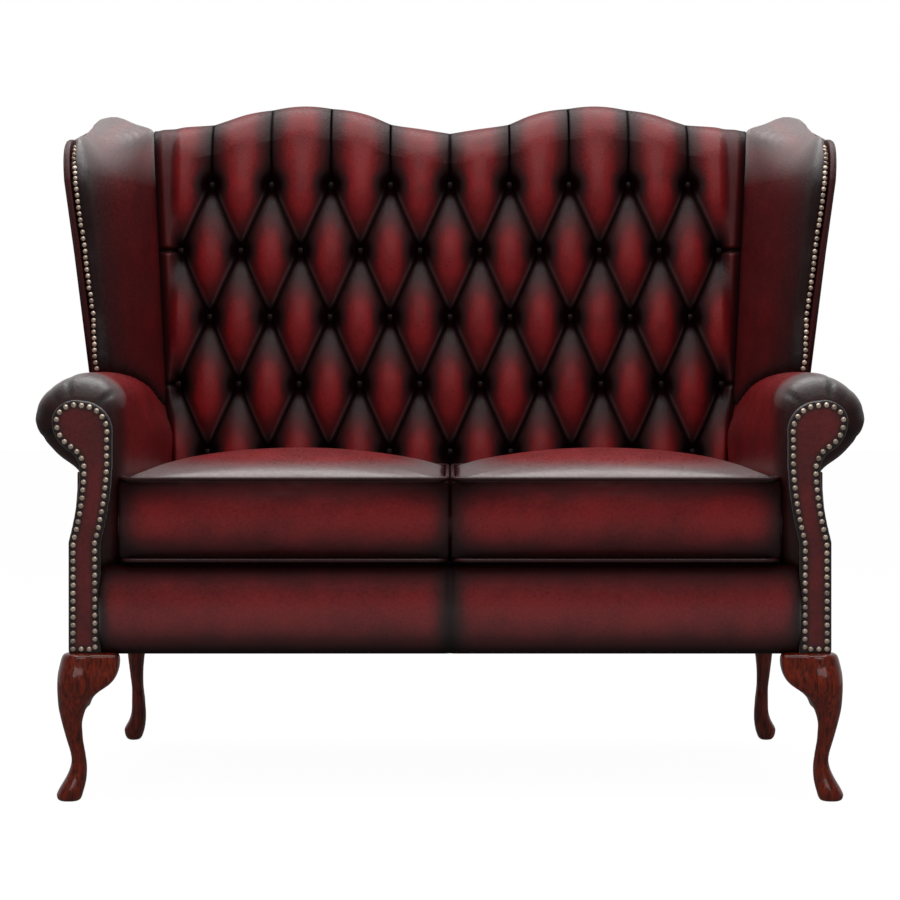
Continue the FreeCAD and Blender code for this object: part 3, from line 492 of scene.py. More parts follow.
def welted(name, node, outward, wear_and_painted_light, sheen):
    """Outside panel with a corded seam round its face."""
    flat = board("outline", node)
    face = max(flat.data.polygons, key=lambda side: side.area * side.normal.dot(Vector(outward)))
    middle = face.center.copy()
    inset = 0.004
    path = []
    for index in face.vertices:
        spot = flat.data.vertices[index].co
        path.append(spot + (middle - spot).normalized() * inset)
    bpy.data.objects.remove(flat)
    cord = tubes("welt", [path], WELT)
    set_wear_and_painted_light(cord, wear_and_painted_light=0.3)
    piece = panel(name, node, bevel=0.003)
    set_wear_and_painted_light(piece, wear_and_painted_light, sheen)
    pick(piece, cord)
    bpy.ops.object.join()
    return piece


def dress(piece, body, material, nodes):
    """Gives a finished piece its material and its place in the model."""
    piece.data.materials.clear()
    piece.data.materials.append(material)
    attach(piece, body)
    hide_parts(*nodes)


# Buttoned back

def crest(x):
    """Height of the serpentine top."""
    low, rise, half = 1.086, 0.045, 0.255
    radius = (half ** 2 + rise ** 2) / (4 * rise)
    spot = np.abs(x) % (2 * half)
    from_dip = np.minimum(spot, 2 * half - spot)
    near = low + radius - np.sqrt(radius ** 2 - np.minimum(from_dip, half / 2) ** 2)
    away = low + rise - radius + np.sqrt(radius ** 2 - np.minimum(half - from_dip, half / 2) ** 2)
    # The stuffing stands a few millimetres over the CAD line, most at the outer dips
    over, outer_dip, reach = 0.0055, 0.47, 0.10
    stuffing = over + over * bell(np.abs(x), outer_dip, reach)
    return np.where(from_dip < half / 2, near, away) + stuffing


def seam(z):
    """Distance from the middle to the seam between back and wing."""
    return SEAM_AT_SEAT + SEAM_SPREAD * (z - SEAT_LEVEL)


def front_face(z):
    """Place of the back's crowns at a height."""
    return FRONT_AT_SEAT + (z - SEAT_LEVEL) * math.tan(FRONT_RAKE)


def rear_face(z):
    """Place of the frame's rear under the outside cover at a height."""
    return REAR_AT_FRAME + (z - FRAME_LEVEL) * math.tan(REAR_RAKE) - OUTSIDE_COVER


def tufting(x, z):
    """Depth behind the crowns, rubbed amount with painted shade, and sheen at a place of the buttoned face."""
    size = sizes()
    half, rise = size.button_pitch / 2, size.row_pitch
    last = OUTER_BUTTON * half
    reach = np.abs(x)
    spread = np.minimum(reach, last)
    top, bottom = size.row_first, size.row_first - LOWER_ROWS * rise
    level = np.clip(z, bottom, top)
    a = spread / (2 * half) + (top - level) / (2 * rise)
    b = spread / (2 * half) - (top - level) / (2 * rise)
    fullness = 0.62
    u = np.abs(np.sin(np.pi * a)) ** fullness
    v = np.abs(np.sin(np.pi * b)) ** fullness
    above = np.maximum(z - top, 0)
    below = np.maximum(bottom - z, 0)
    # Pits end a little above and below the outer rows; the pleats run on as flutes and get shallower
    pit_reach, flute_reach, flute_loss = 0.035, 0.11, 0.72
    fade = np.exp(-above / pit_reach) * np.exp(-below / pit_reach)
    pleat = size.pleat_depth * (1 - flute_loss * smooth_step(0, flute_reach, above))
    depth = pleat * (1 - u * v) + (size.pit_depth - size.pleat_depth) * ((1 - u) * (1 - v)) ** 0.9 * fade
    # Rubbed oval in the middle of each diamond or flute with wax and painted shade round it, and painted shade in the
    # pit round each button
    across = (a - np.floor(a) + b - np.floor(b)) / 2 - 0.5
    along = (a - np.floor(a) - b + np.floor(b)) / 2
    wide, tall, raised_by = 0.33 + 0.13 * smooth_step(0, 0.05, above), 0.36, 0.05
    oval = np.hypot(across / wide, (along - raised_by) / tall)
    wear_and_painted_light = 0.15 + 0.69 * (1 - smooth_step(0.3, 1.2, oval))
    beside_pit = np.hypot((np.abs(across) - 0.5) * 2 * half, along * 2 * rise)
    over_pit = np.hypot(across * 2 * half, (np.abs(along) - 0.5) * 2 * rise)
    to_button = np.hypot(np.minimum(beside_pit, over_pit), above + below)
    wear_and_painted_light *= smooth_step(0.008, 0.038, to_button)
    # Folded edge of the leather above each pleat, and a line of painted shade in the crease under it
    slanted = 2 * half * rise / math.hypot(half, rise)
    apart = np.where(above > 0, 2 * half, slanted)
    inside = (above == 0) & (below == 0) & (reach < last)
    ridge_at, ridge_width, ridge_height, line_width = 0.0048, 0.0022, 0.002, 0.0026
    fold = np.zeros_like(wear_and_painted_light)
    for line, way in ((a, -1), (b, 1)):
        off = (line - np.round(line)) * apart * way
        ridge = np.where(inside, bell(off, ridge_at, ridge_width), 0)
        depth -= ridge_height * ridge
        fold = np.maximum(fold, ridge)
        wear_and_painted_light *= 1 - 0.85 * bell(off, 0, line_width)
    # Plain strip beside the last buttons, with a short level pleat to the wing, darkened with painted shade
    strip_depth, groove_depth, groove_width, seam_depth = 0.010, 0.010, 0.004, 0.024
    beside = smooth_step(last, last + 0.02, reach)
    depth = depth * (1 - beside) + strip_depth * beside
    wear_and_painted_light = wear_and_painted_light * (1 - beside) + 0.5 * beside
    outside = smooth_step(last - 0.006, last, reach)
    for row in LEVEL_PLEAT_ROWS:
        groove = outside * bell(z, top - row * rise, groove_width)
        depth = depth + groove_depth * groove
        wear_and_painted_light = wear_and_painted_light * (1 - 0.8 * groove)
    # Painted shade along the seam to the wing
    edge = smooth_step(seam(z) - 0.020, seam(z), reach)
    depth = depth * (1 - edge) + seam_depth * edge
    wear_and_painted_light = wear_and_painted_light * (1 - 0.85 * edge)
    raised = smooth_step(0, 0.04, z - top)
    sheen = (0.2 + 0.1 * raised) * smooth_step(0.02, 0.15, wear_and_painted_light) + 0.6 * fold * smooth_step(0.012, 0.03, to_button)
    return depth, wear_and_painted_light, sheen


class SOFA_OT_back(bpy.types.Operator):
    """Deep-buttoned back with folded diamonds and flutes over the serpentine top"""
    bl_idname = "sofa.back"
    bl_label = "Buttoned back"

    def execute(self, context):
        # The face and its turn over the crest, as rows of points one grid step apart
        width, height, turn_length = 1.03, 0.70, 0.15
        step = sizes().grid
        columns, rows, turn_rows = int(width / step), int(height / step), int(turn_length / step)
        share = np.linspace(-1, 1, columns)
        lines, wear_and_painted_light_rows, sheens = [], [], []
        # Lower edge, rough height of the face, and radius and angles of the turn
        floor, face_height = 0.3685, 0.69
        roll, start, end = 0.078, math.radians(11.5), math.radians(118)
        for i in range(rows):
            rise = i / (rows - 1)
            x = share * seam(floor + rise * face_height)
            z = floor + rise * (crest(x) - roll * (1 - math.sin(start)) - floor)
            x = share * seam(z)
            depth, wear_and_painted_light, sheen = tufting(x, z)
            lines.append(np.stack([x, front_face(z) + depth, z], axis=1))
            wear_and_painted_light_rows.append(wear_and_painted_light)
            sheens.append(sheen)
        for i in range(1, turn_rows + 1):
            turn = start + (end - start) * i / turn_rows
            x = lines[rows - 1][:, 0]
            low = crest(x) - roll
            first = low + roll * math.sin(start)
            front, rear = front_face(first), rear_face(low + roll * math.sin(end))
            wide = (rear - front) / (math.cos(start) - math.cos(end))
            depth, wear_and_painted_light, sheen = tufting(x, first)
            depth = depth * (1 - 0.8 * smooth_step(0, 0.6, np.float64(i / turn_rows)))
            y = front + wide * (math.cos(start) - math.cos(turn)) + depth * math.cos(turn - start)
            z = low + roll * math.sin(turn) - depth * math.sin(turn - start)
            lines.append(np.stack([x, y, z], axis=1))
            # Over the turn the colour darkens, a painted shade, and the leather mirrors less
            wear_and_painted_light_rows.append(wear_and_painted_light * (1 - 0.3 * i / turn_rows))
            sheens.append(sheen * (1 - 0.75 * i / turn_rows))
        # The rear is closed by a ledge under the turn and a foot in front of the lower rail
        ledge_drop, rail_depth = 0.02, 0.0325
        last = lines[-1]
        ledge = np.stack([last[:, 0], rear_face(last[:, 2] - ledge_drop), last[:, 2] - ledge_drop], axis=1)
        foot = lines[0].copy()
        foot[:, 1] = rear_face(foot[:, 2]) - rail_depth
        lines += [ledge, foot]
        wear_and_painted_light_rows += [np.zeros(columns)] * 2
        sheens += [np.zeros(columns)] * 2
        spots = np.concatenate(lines)
        count = len(lines)
        faces = []
        for i in range(count):
            low, high = i * columns, (i + 1) % count * columns
            faces += [(low + j, low + j + 1, high + j + 1, high + j) for j in range(columns - 1)]
        faces.append(tuple(i * columns for i in range(count)))
        faces.append(tuple(i * columns + columns - 1 for i in range(count - 1, -1, -1)))
        mesh = bpy.data.meshes.new("buttoned_back")
        mesh.from_pydata(spots.tolist(), [], faces)
        piece = bpy.data.objects.new("buttoned_back", mesh)
        context.scene.collection.objects.link(piece)
        set_wear_and_painted_light(piece, np.concatenate(wear_and_painted_light_rows), np.concatenate(sheens))
        smooth_shade(piece)
        dress(piece, "sofa", leather(), ["back_pad"])
        return {"FINISHED"}


# Studs, read from the places of the CAD heads

def heads_of(node):
    """Middle and outward direction of each head of a node."""
    copy_of("heads", [node])
    bpy.ops.object.mode_set(mode="EDIT")
    bpy.ops.mesh.separate(type="LOOSE")
    bpy.ops.object.mode_set(mode="OBJECT")
    heads = []
    for head in list(bpy.context.selected_objects):
        spots = points_of(head)
        far = np.argmin(spots[:, 1])
        base = np.delete(spots, far, axis=0)
        middle = base.mean(axis=0)
        way = spots[far] - middle
        heads.append((middle, way / np.linalg.norm(way)))
        bpy.data.objects.remove(head)
    return heads


def domes(name, heads, radius, height):
    """Domed heads at their places, modelled once and copied."""
    deselect()
    bpy.ops.mesh.primitive_uv_sphere_add(segments=12, ring_count=8, radius=radius)
    head = bpy.context.object
    bpy.ops.object.mode_set(mode="EDIT")
    bpy.ops.mesh.select_all(action="SELECT")
    bpy.ops.mesh.bisect(plane_co=(0, 0, -radius * 0.12), plane_no=(0, 0, 1), clear_inner=True, use_fill=True)
    bpy.ops.mesh.select_all(action="SELECT")
    bpy.ops.transform.resize(value=(1, 1, height / radius))
    bpy.ops.object.mode_set(mode="OBJECT")
    copies = []
    for middle, way in heads:
        copy = head.copy()
        copy.data = head.data.copy()
        copy.matrix_world = Vector(way).to_track_quat("Z", "Y").to_matrix().to_4x4()
        copy.location = Vector(middle)
        bpy.context.scene.collection.objects.link(copy)
        copies.append(copy)
    bpy.data.objects.remove(head)
    pick(*copies)
    bpy.ops.object.join()
    bpy.ops.object.transform_apply(location=True, rotation=True, scale=True)
    piece = bpy.context.object
    piece.name = name
    piece.data.name = name
    bpy.ops.object.shade_smooth()
    return piece


def on_cover(heads, cover):
    """Moves heads on to the nearest places of a cover."""
    skin = BVHTree.FromObject(cover, bpy.context.evaluated_depsgraph_get())
    placed = []
    for middle, way in heads:
        placed.append((np.array(skin.find_nearest(Vector(middle))[0]), way))
    return placed


class SOFA_OT_buttons(bpy.types.Operator):
    """Covered buttons in the pits of the back"""
    bl_idname = "sofa.buttons"
    bl_label = "Buttons"

    def execute(self, context):
        sunk = np.array([0, 0.003, -0.001])
        heads = [(middle + sunk, way) for middle, way in heads_of("back_buttons")]
        piece = domes("covered_buttons", heads, *BUTTON_HEAD)
        # The buttons take the dark colour of the pits, a painted shade
        set_wear_and_painted_light(piece, wear_and_painted_light=0.08, sheen=0.15)
        dress(piece, "sofa", leather(), ["back_buttons"])
        return {"FINISHED"}


class SOFA_OT_nails(bpy.types.Operator):
    """Brass nails round the arm fronts and down the wings"""
    bl_idname = "sofa.nails"
    bl_label = "Nails"

    def execute(self, context):
        for side, _ in SIDES:
            for row in ("arm_nails", "wing_nails"):
                node = side + "_" + row
                cover = side + ("_arm_front" if row == "arm_nails" else "_wing_cover")
                heads = on_cover(heads_of(node), bpy.data.objects[cover])
                piece = domes(node + "_heads", heads, *NAIL_HEAD)
                dress(piece, "sofa", brass(), [node])
        return {"FINISHED"}


# Wings and arms

class SOFA_OT_wings(bpy.types.Operator):
    """Padded wings and their outside panels"""
    bl_idname = "sofa.wings"
    bl_label = "Wings"

    def execute(self, context):
        for side, way in SIDES:
            inner = [side + "_wing_pad", side + "_wing_board"]
            piece = remeshed(side + "_wing_cover", inner, sizes().voxel, rounds=24)
            puff(piece, amount=0.002)
            spots = points_of(piece)
            # The top and the front edge are much rounder than the rest, but not where the cover is sewn to the back
            sewn = np.abs(spots[:, 0]) - seam(spots[:, 2])
            top = smooth_step(0.92, 1.06, spots[:, 2]) * smooth_step(0, 0.045, sewn)
            front = 0.7 * smooth_step(-0.03, -0.10, spots[:, 1]) * smooth_step(0.68, 0.76, spots[:, 2])
            softened(piece, np.maximum(top, front), rounds=150)
            puff(piece, amount=0.003)
            # Stuffing lifts the top, most at its front
            spots = points_of(piece)
            sewn = np.abs(spots[:, 0]) - seam(spots[:, 2])
            free = smooth_step(0, 0.04, sewn)
            lift = 0.007 * free + 0.014 * smooth_step(0.05, -0.08, spots[:, 1])
            spots[:, 2] += lift * smooth_step(1.0, 1.07, spots[:, 2])
            # The inside rolls outwards over the top, towards the outside panel
            roll_from, roll_height, roll_by, outside_at, thickness = 0.95, 0.14, 0.05, 0.625, 0.05
            upper = np.clip((spots[:, 2] - roll_from) / roll_height, 0, 1) ** 2
            inner_side = np.clip((outside_at - spots[:, 0] * way) / thickness, 0, 1)
            spots[:, 0] += way * roll_by * (upper * inner_side) * free
            # A low hump stands at the rear of the top
            hump_at, hump_width, hump_height = 0.602, 0.032, 0.014
            rise = smooth_step(0.18, 0.37, spots[:, 1]) * smooth_step(1.02, 1.09, spots[:, 2])
            spots[:, 2] += hump_height * (rise * bell(spots[:, 0] * way, hump_at, hump_width))
            spots[:, 1] = np.minimum(spots[:, 1], rear_face(spots[:, 2]) - 0.001)
            place_points(piece, spots)
            wear_and_painted_light = 0.16 + 0.4 * edge_wear_and_shade(piece, reach=120, strength=0.012)
            # Painted shade: darker towards the front edge
            wear_and_painted_light *= 0.55 + 0.45 * smooth_step(-0.10, 0.06, spots[:, 1])
            # Painted highlight: lighter and redder over the top
            wear_and_painted_light += 0.35 * smooth_step(1.0, 1.09, spots[:, 2])
            set_wear_and_painted_light(piece, wear_and_painted_light, 0.3 + 0.7 * smooth_step(0.92, 1.10, spots[:, 2]))
            smooth_shade(piece)
            dress(piece, "sofa", leather(), [side + "_wing_pad"])
            # The outside panel is darker than the other outside panels, a painted shade
            outside = welted(side + "_wing_outside", side + "_outside_wing", (way, 0, 0), wear_and_painted_light=0.38, sheen=0.25)
            # Its edge lies under the rounded edge of the pad
            spots = points_of(outside)
            spots[:, 2] -= 0.002 * smooth_step(0.92, 1.05, spots[:, 2])
            spots[:, 1] += 0.005 * smooth_step(-0.04, -0.12, spots[:, 1])
            place_points(outside, spots)
            dress(outside, "sofa", leather(), [side + "_outside_wing"])
        return {"FINISHED"}


class SOFA_OT_arms(bpy.types.Operator):
    """Padded scroll arms with gathered fronts, their facings and outside panels"""
    bl_idname = "sofa.arms"
    bl_label = "Arms"

    def execute(self, context):
        for side, way in SIDES:
            inner = [side + "_arm_pad", side + "_front_post", side + "_arm_rail"]
            piece = remeshed(side + "_arm_cover", inner, sizes().voxel, rounds=30)
            puff(piece, amount=0.004)
            softened(piece, smooth_step(-0.29, -0.34, points_of(piece)[:, 1]), rounds=60)
            puff(piece, amount=0.002)
            spots = points_of(piece)
            wear_and_painted_light = 0.22 + 0.55 * edge_wear_and_shade(piece, reach=90, strength=0.012)
            # Painted shade: darker towards the rounded front
            wear_and_painted_light *= 0.5 + 0.5 * smooth_step(-0.37, -0.28, spots[:, 1])
            across, up = spots[:, 0] * -way + SCROLL_ACROSS, spots[:, 2] - SCROLL_UP
            angle = np.degrees(np.arctan2(up, across))
            front_edge, pleat_run = -0.373, 0.045
            near = np.exp(-np.maximum(spots[:, 1] - front_edge, 0) / pleat_run)
            on_roll = smooth_step(0.03, 0.045, np.hypot(across, up))
            # The scroll droops: flatter by a tenth of its radius at its outer top and underneath
            flat = 0.10 * bell(angle, 122, 36) + 0.09 * bell(angle % 360, 222, 26)
            outward = np.stack([across * -way, np.zeros(len(spots)), up], axis=1)
            spots -= outward * (flat * on_roll)[:, None]
            for turn, strength in PLEATS:
                off = np.abs((angle - turn + 180) % 360 - 180)
                fold = strength * bell(off, 0, PLEAT_WIDTH) * near * on_roll
                spots -= outward * (fold * PLEAT_DEPTH)[:, None]
                # Painted shade in the fold
                wear_and_painted_light *= 1 - PLEAT_SHADE * fold
            place_points(piece, spots)
            # Painted highlight: the inside of the top is lighter and redder; the rounded front end shines most
            nose = smooth_step(-0.22, -0.33, spots[:, 1])
            wear_and_painted_light += 0.22 * bell(angle, 55, 35) * (1 - nose)
            set_wear_and_painted_light(piece, wear_and_painted_light, 0.35 + 0.6 * smooth_step(0.57, 0.67, spots[:, 2]) * (0.25 + 0.75 * nose))
            smooth_shade(piece)
            dress(piece, "sofa", leather(), [side + "_arm_pad"])
            facing = remeshed(side + "_arm_front", [side + "_arm_facing"], voxel=0.0025, rounds=4)
            puff(facing, amount=0.001)
            # Painted shade: darker near the rim, in the groove round the facing
            set_wear_and_painted_light(facing, 0.12 + 0.55 * smooth_step(0.005, 0.017, rim_distance(facing)), sheen=0.75)
            smooth_shade(facing)
            dress(facing, "sofa", leather(), [side + "_arm_facing"])
            outside = panel(side + "_arm_outside", side + "_outside_arm", bevel=0.002)
            set_wear_and_painted_light(outside, wear_and_painted_light=0.55)
            dress(outside, "sofa", leather(), [side + "_outside_arm"])
        return {"FINISHED"}


# Seat

def front_sheen(level):
    """Share of the sheen on an upright front, from -1 at its foot to 1 at its top, where it turns dark first."""
    inside = np.clip(level, -1, 1)
    return np.where(inside > 0, (1 - inside) ** 1.5, 1 - 0.9 * inside ** 2)


def fill_cushion(piece):
    """Blows the cover up like a stuffed cushion, with its sewn edges held."""
    frames, pressure, seam_rounds, seam_move = 20, 4.0, 12, 0.0032
    spots, pairs = points_of(piece), pairs_of(piece)
    edge = np.linalg.norm(relax(spots, pairs, seam_rounds) - spots, axis=1)
    held = np.nonzero(edge > seam_move)[0]
    group = piece.vertex_groups.new(name="seams")
    group.add(held.tolist(), 1.0, "REPLACE")
    cloth = piece.modifiers.new("Filling", "CLOTH")
    cloth.settings.use_pressure = True
    cloth.settings.uniform_pressure_force = pressure
    cloth.settings.vertex_group_mass = "seams"
    cloth.settings.effector_weights.gravity = 0.0
    cloth.collision_settings.use_collision = False
    for number in range(1, frames + 1):
        bpy.context.scene.frame_set(number)
    shaped = piece.evaluated_get(bpy.context.evaluated_depsgraph_get())
    swollen = points_of(shaped)
    move = swollen - spots
    distance = np.linalg.norm(move, axis=1)
    share = np.minimum(1, sizes().swell / np.maximum(distance, 1e-9))
    piece.modifiers.remove(cloth)
    piece.vertex_groups.clear()
    bpy.context.scene.frame_set(1)
    place_points(piece, spots + move * share[:, None])


def fit_box(piece, low, high):
    """Stretches a piece in plan, so that it reaches its seams again after rounding."""
    spots = points_of(piece)
    for axis in (0, 1):
        least, most = spots[:, axis].min(), spots[:, axis].max()
        spots[:, axis] = low[axis] + (spots[:, axis] - least) * (high[axis] - low[axis]) / (most - least)
    place_points(piece, spots)


def seat_piping(side):
    """Corded seams round the top and the bottom of a cushion, with rounded corners."""
    inset, corner_radius, corner_points = 0.0035, 0.03, 7
    spots = points_of(frame["nodes"][side + "_cushion_piping"])
    middle = spots.mean(axis=0)
    cords = []
    for level in (-1, 1):
        ring = spots[(spots[:, 2] - middle[2]) * level > 0]
        corners = []
        for x, y in ((-1, -1), (1, -1), (1, 1), (-1, 1)):
            corner = ring[np.argmax(ring[:, 0] * x + ring[:, 1] * y)].copy()
            corner -= np.array([x, y, 0]) * inset
            corner[2] = ring[:, 2].mean()
            corners.append(corner)
        path = []
        for i, corner in enumerate(corners):
            back, on = corners[i - 1] - corner, corners[(i + 1) % 4] - corner
            before = corner + back / np.linalg.norm(back) * corner_radius
            after = corner + on / np.linalg.norm(on) * corner_radius
            for share in np.linspace(0, 1, corner_points):
                path.append(before * (1 - share) ** 2 + corner * 2 * share * (1 - share) + after * share ** 2)
        cords.append(path)
    return tubes(side + "_seat_piping", cords, PIPING)


class SOFA_OT_cushions(bpy.types.Operator):
    """Two loose seat cushions with corded seams"""
    bl_idname = "sofa.cushions"
    bl_label = "Seat cushions"

    def execute(self, context):
        for side, _ in SIDES:
            body = side + "_cushion"
            inner = [side + "_cushion_cover", side + "_cushion_core"]
            piece = remeshed(side + "_seat_cushion", inner, voxel=0.006, rounds=5)
            low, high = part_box(side + "_cushion_piping")
            fit_box(piece, low, high)
            fill_cushion(piece)
            # Level is -1 at the lower seam and 1 at the upper one
            spots = points_of(piece)
            level = (spots[:, 2] - (low[2] + high[2]) / 2) / (high[2] - low[2]) * 2
            on_side = smooth_step(1.1, 0.9, np.abs(level))
            wear_and_painted_light = 0.24 + 0.76 * edge_wear_and_shade(piece, reach=110, strength=0.016)
            crown = smooth_step(1.12, 1.4, level)
            # Painted shade darkens the sides towards their top and foot; the top is darker so that the sheen on it
            # reads paler; the crown is redder, a painted reflection of the red back
            wear_and_painted_light *= 1 - 0.85 * on_side * level ** 2 - 0.45 * smooth_step(1, 1.1, level) + 0.35 * crown
            on_top = smooth_step(0.92, 1.04, level)
            sheen = 0.6 * front_sheen(level) * (1 - on_top) + on_top * (1 - 0.5 * crown)
            set_wear_and_painted_light(piece, wear_and_painted_light, sheen)
            pick(piece)
            finer = piece.modifiers.new("Finer", "SUBSURF")
            finer.levels = finer.render_levels = 1
            bpy.ops.object.modifier_apply(modifier=finer.name)
            bpy.ops.object.shade_smooth()
            dress(piece, body, leather(), [side + "_cushion_cover"])
            cord = seat_piping(side)
            # Darker than the cushion: painted shade along the seam
            set_wear_and_painted_light(cord, wear_and_painted_light=0.3)
            dress(cord, body, leather(), [side + "_cushion_piping"])
        return {"FINISHED"}


class SOFA_OT_border(bpy.types.Operator):
    """Padded border under the seat, sewn in the middle"""
    bl_idname = "sofa.border"
    bl_label = "Front border"

    def execute(self, context):
        padding, seam_width, seam_depth, seam_shade = 0.009, 0.004, 0.004, 0.02
        piece = remeshed("front_apron", ["front_border"], voxel=0.004, rounds=8)
        puff(piece, amount=0.002)
        spots = points_of(piece)
        low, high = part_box("front_border")
        level = (spots[:, 2] - (low[2] + high[2]) / 2) / (high[2] - low[2]) * 2
        front = smooth_step(low[1] + 0.02, low[1] + 0.004, spots[:, 1])
        spots[:, 1] -= padding * np.maximum(1 - level ** 2, 0) * front
        # Painted shade darkens the top of the front, under the cushions, and its foot
        wear_and_painted_light = 0.1 + 0.8 * edge_wear_and_shade(piece, reach=80, strength=0.010) * (1 - 0.95 * level ** 2)
        spots[:, 1] += seam_depth * bell(spots[:, 0], 0, seam_width)
        # Painted shade along the middle seam
        wear_and_painted_light *= 1 - 0.8 * bell(spots[:, 0], 0, seam_shade)
        place_points(piece, spots)
        set_wear_and_painted_light(piece, wear_and_painted_light, 0.9 * front_sheen(level))
        smooth_shade(piece)
        dress(piece, "sofa", leather(), ["front_border"])
        return {"FINISHED"}


class SOFA_OT_panels(bpy.types.Operator):
    """Outside back, seat platform and dust cover"""
    bl_idname = "sofa.panels"
    bl_label = "Panels"

    def execute(self, context):
        back = welted("back_outside", "outside_back", (0, 1, 0), wear_and_painted_light=0.5, sheen=0.4)
        dress(back, "sofa", leather(), ["outside_back"])
        lining = plain_finish("black_lining", "#1b1a1a", grain_mm=3.0, roughness=0.9)
        deck = panel("seat_platform", "seat_deck", bevel=0.002)
        dress(deck, "sofa", lining, ["seat_deck"])
        cover = panel("under_cover", "dust_cover", bevel=0.0004)
        dress(cover, "sofa", lining, ["dust_cover"])
        return {"FINISHED"}


class SOFA_OT_legs(bpy.types.Operator):
    """Cabriole front legs and plain rear legs"""
    bl_idname = "sofa.legs"
    bl_label = "Legs"

    def execute(self, context):
        knee_level, knee_width, knee_swell = 0.178, 0.026, 0.012
        for side, _ in SIDES:
            for place in ("front", "rear"):
                node = side + "_" + place + "_leg"
                piece = remeshed(side + "_" + place + "_foot", [node], voxel=0.0018, rounds=60)
                puff(piece, amount=0.0012)
                spots = points_of(piece)
                spots[:, 2] = np.maximum(spots[:, 2], 0)
                if place == "front":
                    knee = bell(spots[:, 2], knee_level, knee_width) * smooth_step(-0.33, -0.39, spots[:, 1])
                    spots[:, 1] -= knee_swell * knee
                place_points(piece, spots)
                smooth_shade(piece)
                dress(piece, "sofa", mahogany(), [node])
        return {"FINISHED"}


class SOFA_OT_frame(bpy.types.Operator):
    """Finishes of the frame, springs and filling inside the upholstery"""
    bl_idname = "sofa.frame"
    bl_label = "Inner frame"

    def execute(self, context):
        finishes = {
            "frame_wood": plain_finish("raw_beech", "#c9a877", grain_mm=8.0, roughness=0.6),
            "steel": plain_finish("spring_steel", "#8d8f92", grain_mm=4.0, roughness=0.4, metallic=1.0),
            "webbing": plain_finish("woven_jute", "#a88d62", grain_mm=2.0, roughness=0.9),
            "foam": plain_finish("cushion_foam", "#e6d9ae", grain_mm=3.0, roughness=0.95),
        }
        for entry in frame["record"]["subparts"]:
            finish = finishes.get(entry["material_slot"])
            if finish:
                piece = frame["nodes"][entry["node"]]
                piece.data.materials.clear()
                piece.data.materials.append(finish)
        return {"FINISHED"}


# Stage

def soft_box(name, place, target, width, height, power, mirrored):
    """Area light turned to a target."""
    data = bpy.data.lights.new(name, "AREA")
    data.shape = "RECTANGLE"
    data.size = width
    data.size_y = height
    data.energy = power
    lamp = bpy.data.objects.new(name, data)
    lamp.location = place
    lamp.visible_glossy = mirrored
    lamp.rotation_euler = (Vector(target) - Vector(place)).to_track_quat("-Z", "Y").to_euler()
    bpy.context.scene.collection.objects.link(lamp)


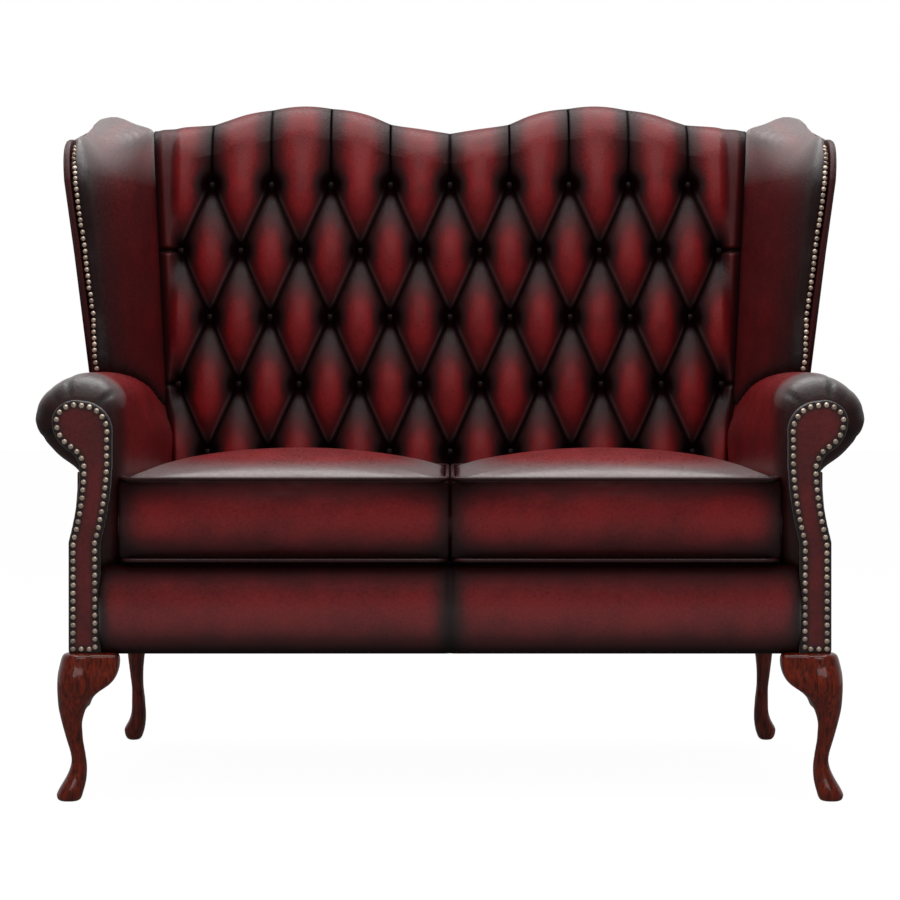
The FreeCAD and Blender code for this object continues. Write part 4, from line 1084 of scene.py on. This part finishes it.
class SOFA_OT_stage(bpy.types.Operator):
    """White studio: floor, soft boxes and camera"""
    bl_idname = "sofa.stage"
    bl_label = "Stage"

    def execute(self, context):
        scene = context.scene
        deselect()
        bpy.ops.mesh.primitive_plane_add(size=30)
        floor = context.object
        floor.name = "studio_floor"
        # Painted studio floor: matt white, shown as white with only the sofa's shadow
        material, tree, shader = new_material("white_floor")
        shader.inputs["Base Color"].default_value = (*linear("#bcbcbc"), 1)
        shader.inputs["Roughness"].default_value = 0.9
        rays = add(tree, "ShaderNodeLightPath")
        seen = add(tree, "ShaderNodeMath", {0: rays.outputs["Is Camera Ray"], 1: rays.outputs["Is Transmission Ray"]})
        white, in_leather, glow_share = 1.08, 0.1, 0.9
        dim = scaled(tree, rays.outputs["Is Glossy Ray"], in_leather, seen.outputs[0])
        strength = times(tree, dim, white)
        glow = add(tree, "ShaderNodeEmission", {"Color": (*colours().floor, 1), "Strength": strength})
        seen = add(tree, "ShaderNodeMath", {0: seen.outputs[0], 1: rays.outputs["Is Glossy Ray"]}, use_clamp=True)
        share = times(tree, seen.outputs[0], glow_share)
        mix = add(tree, "ShaderNodeMixShader", {0: share, 1: shader.outputs[0], 2: glow.outputs[0]})
        tree.links.new(mix.outputs[0], tree.nodes["Material Output"].inputs["Surface"])
        floor.data.materials.append(material)
        world = bpy.data.worlds.new("studio")
        scene.world = world
        world.use_nodes = True
        tree = world.node_tree
        rays = add(tree, "ShaderNodeLightPath")
        # The white backdrop stands behind the sofa, so only that half of the sky is bright in reflections
        way = add(tree, "ShaderNodeTexCoord").outputs["Generated"]
        way = add(tree, "ShaderNodeSeparateXYZ", {0: way}).outputs["Y"]
        behind = add(tree, "ShaderNodeMapRange", {
            "Value": way, "From Min": -0.1, "From Max": 0.5, "To Min": 0.14, "To Max": 0.5}).outputs["Result"]
        shine = times(tree, rays.outputs["Is Glossy Ray"], behind)
        sky_light = 0.3
        other = scaled(tree, rays.outputs["Is Diffuse Ray"], sky_light, shine)
        seen = add(tree, "ShaderNodeMath", {0: rays.outputs["Is Camera Ray"], 1: rays.outputs["Is Transmission Ray"]})
        seen = add(tree, "ShaderNodeMath", {0: seen.outputs[0], 1: other})
        back = tree.nodes["Background"]
        back.inputs["Color"].default_value = (*colours().floor, 1)
        tree.links.new(seen.outputs[0], back.inputs["Strength"])
        for light in LIGHTS:
            soft_box(*light)
        lens = bpy.data.cameras.new("camera")
        lens.sensor_width = SENSOR
        lens.lens = SENSOR * FOCAL / PHOTO_WIDTH
        camera = bpy.data.objects.new("camera", lens)
        camera.location = EYE
        camera.rotation_euler = (math.pi / 2 - math.atan(TILT / FOCAL), 0, 0)
        scene.collection.objects.link(camera)
        scene.camera = camera
        scene.view_settings.view_transform = "Standard"
        return {"FINISHED"}


class SOFA_PT_panel(bpy.types.Panel):
    """Lists the steps that dress the sofa"""
    bl_label = "Sofa"
    bl_idname = "SOFA_PT_panel"
    bl_space_type = "VIEW_3D"
    bl_region_type = "UI"
    bl_category = "Sofa"

    def draw(self, context):
        for group in (context.scene.sofa_sizes, context.scene.sofa_colours):
            for name in group.__annotations__:
                self.layout.prop(group, name)
        for step in steps:
            self.layout.operator(step.bl_idname)


steps = (
    SOFA_OT_stage, SOFA_OT_back, SOFA_OT_buttons, SOFA_OT_wings, SOFA_OT_arms, SOFA_OT_border, SOFA_OT_cushions,
    SOFA_OT_panels, SOFA_OT_legs, SOFA_OT_nails, SOFA_OT_frame,
)
classes = (SofaSizes, SofaColours, *steps, SOFA_PT_panel)


def register():
    for kind in classes:
        bpy.utils.register_class(kind)
    bpy.types.Scene.sofa_sizes = bpy.props.PointerProperty(type=SofaSizes)
    bpy.types.Scene.sofa_colours = bpy.props.PointerProperty(type=SofaColours)


def unregister():
    del bpy.types.Scene.sofa_colours
    del bpy.types.Scene.sofa_sizes
    for kind in reversed(classes):
        bpy.utils.unregister_class(kind)


def main():
    register()
    for step in steps:
        group, name = step.bl_idname.split(".")
        getattr(getattr(bpy.ops, group), name)()


if __name__ == "__main__":
    main()
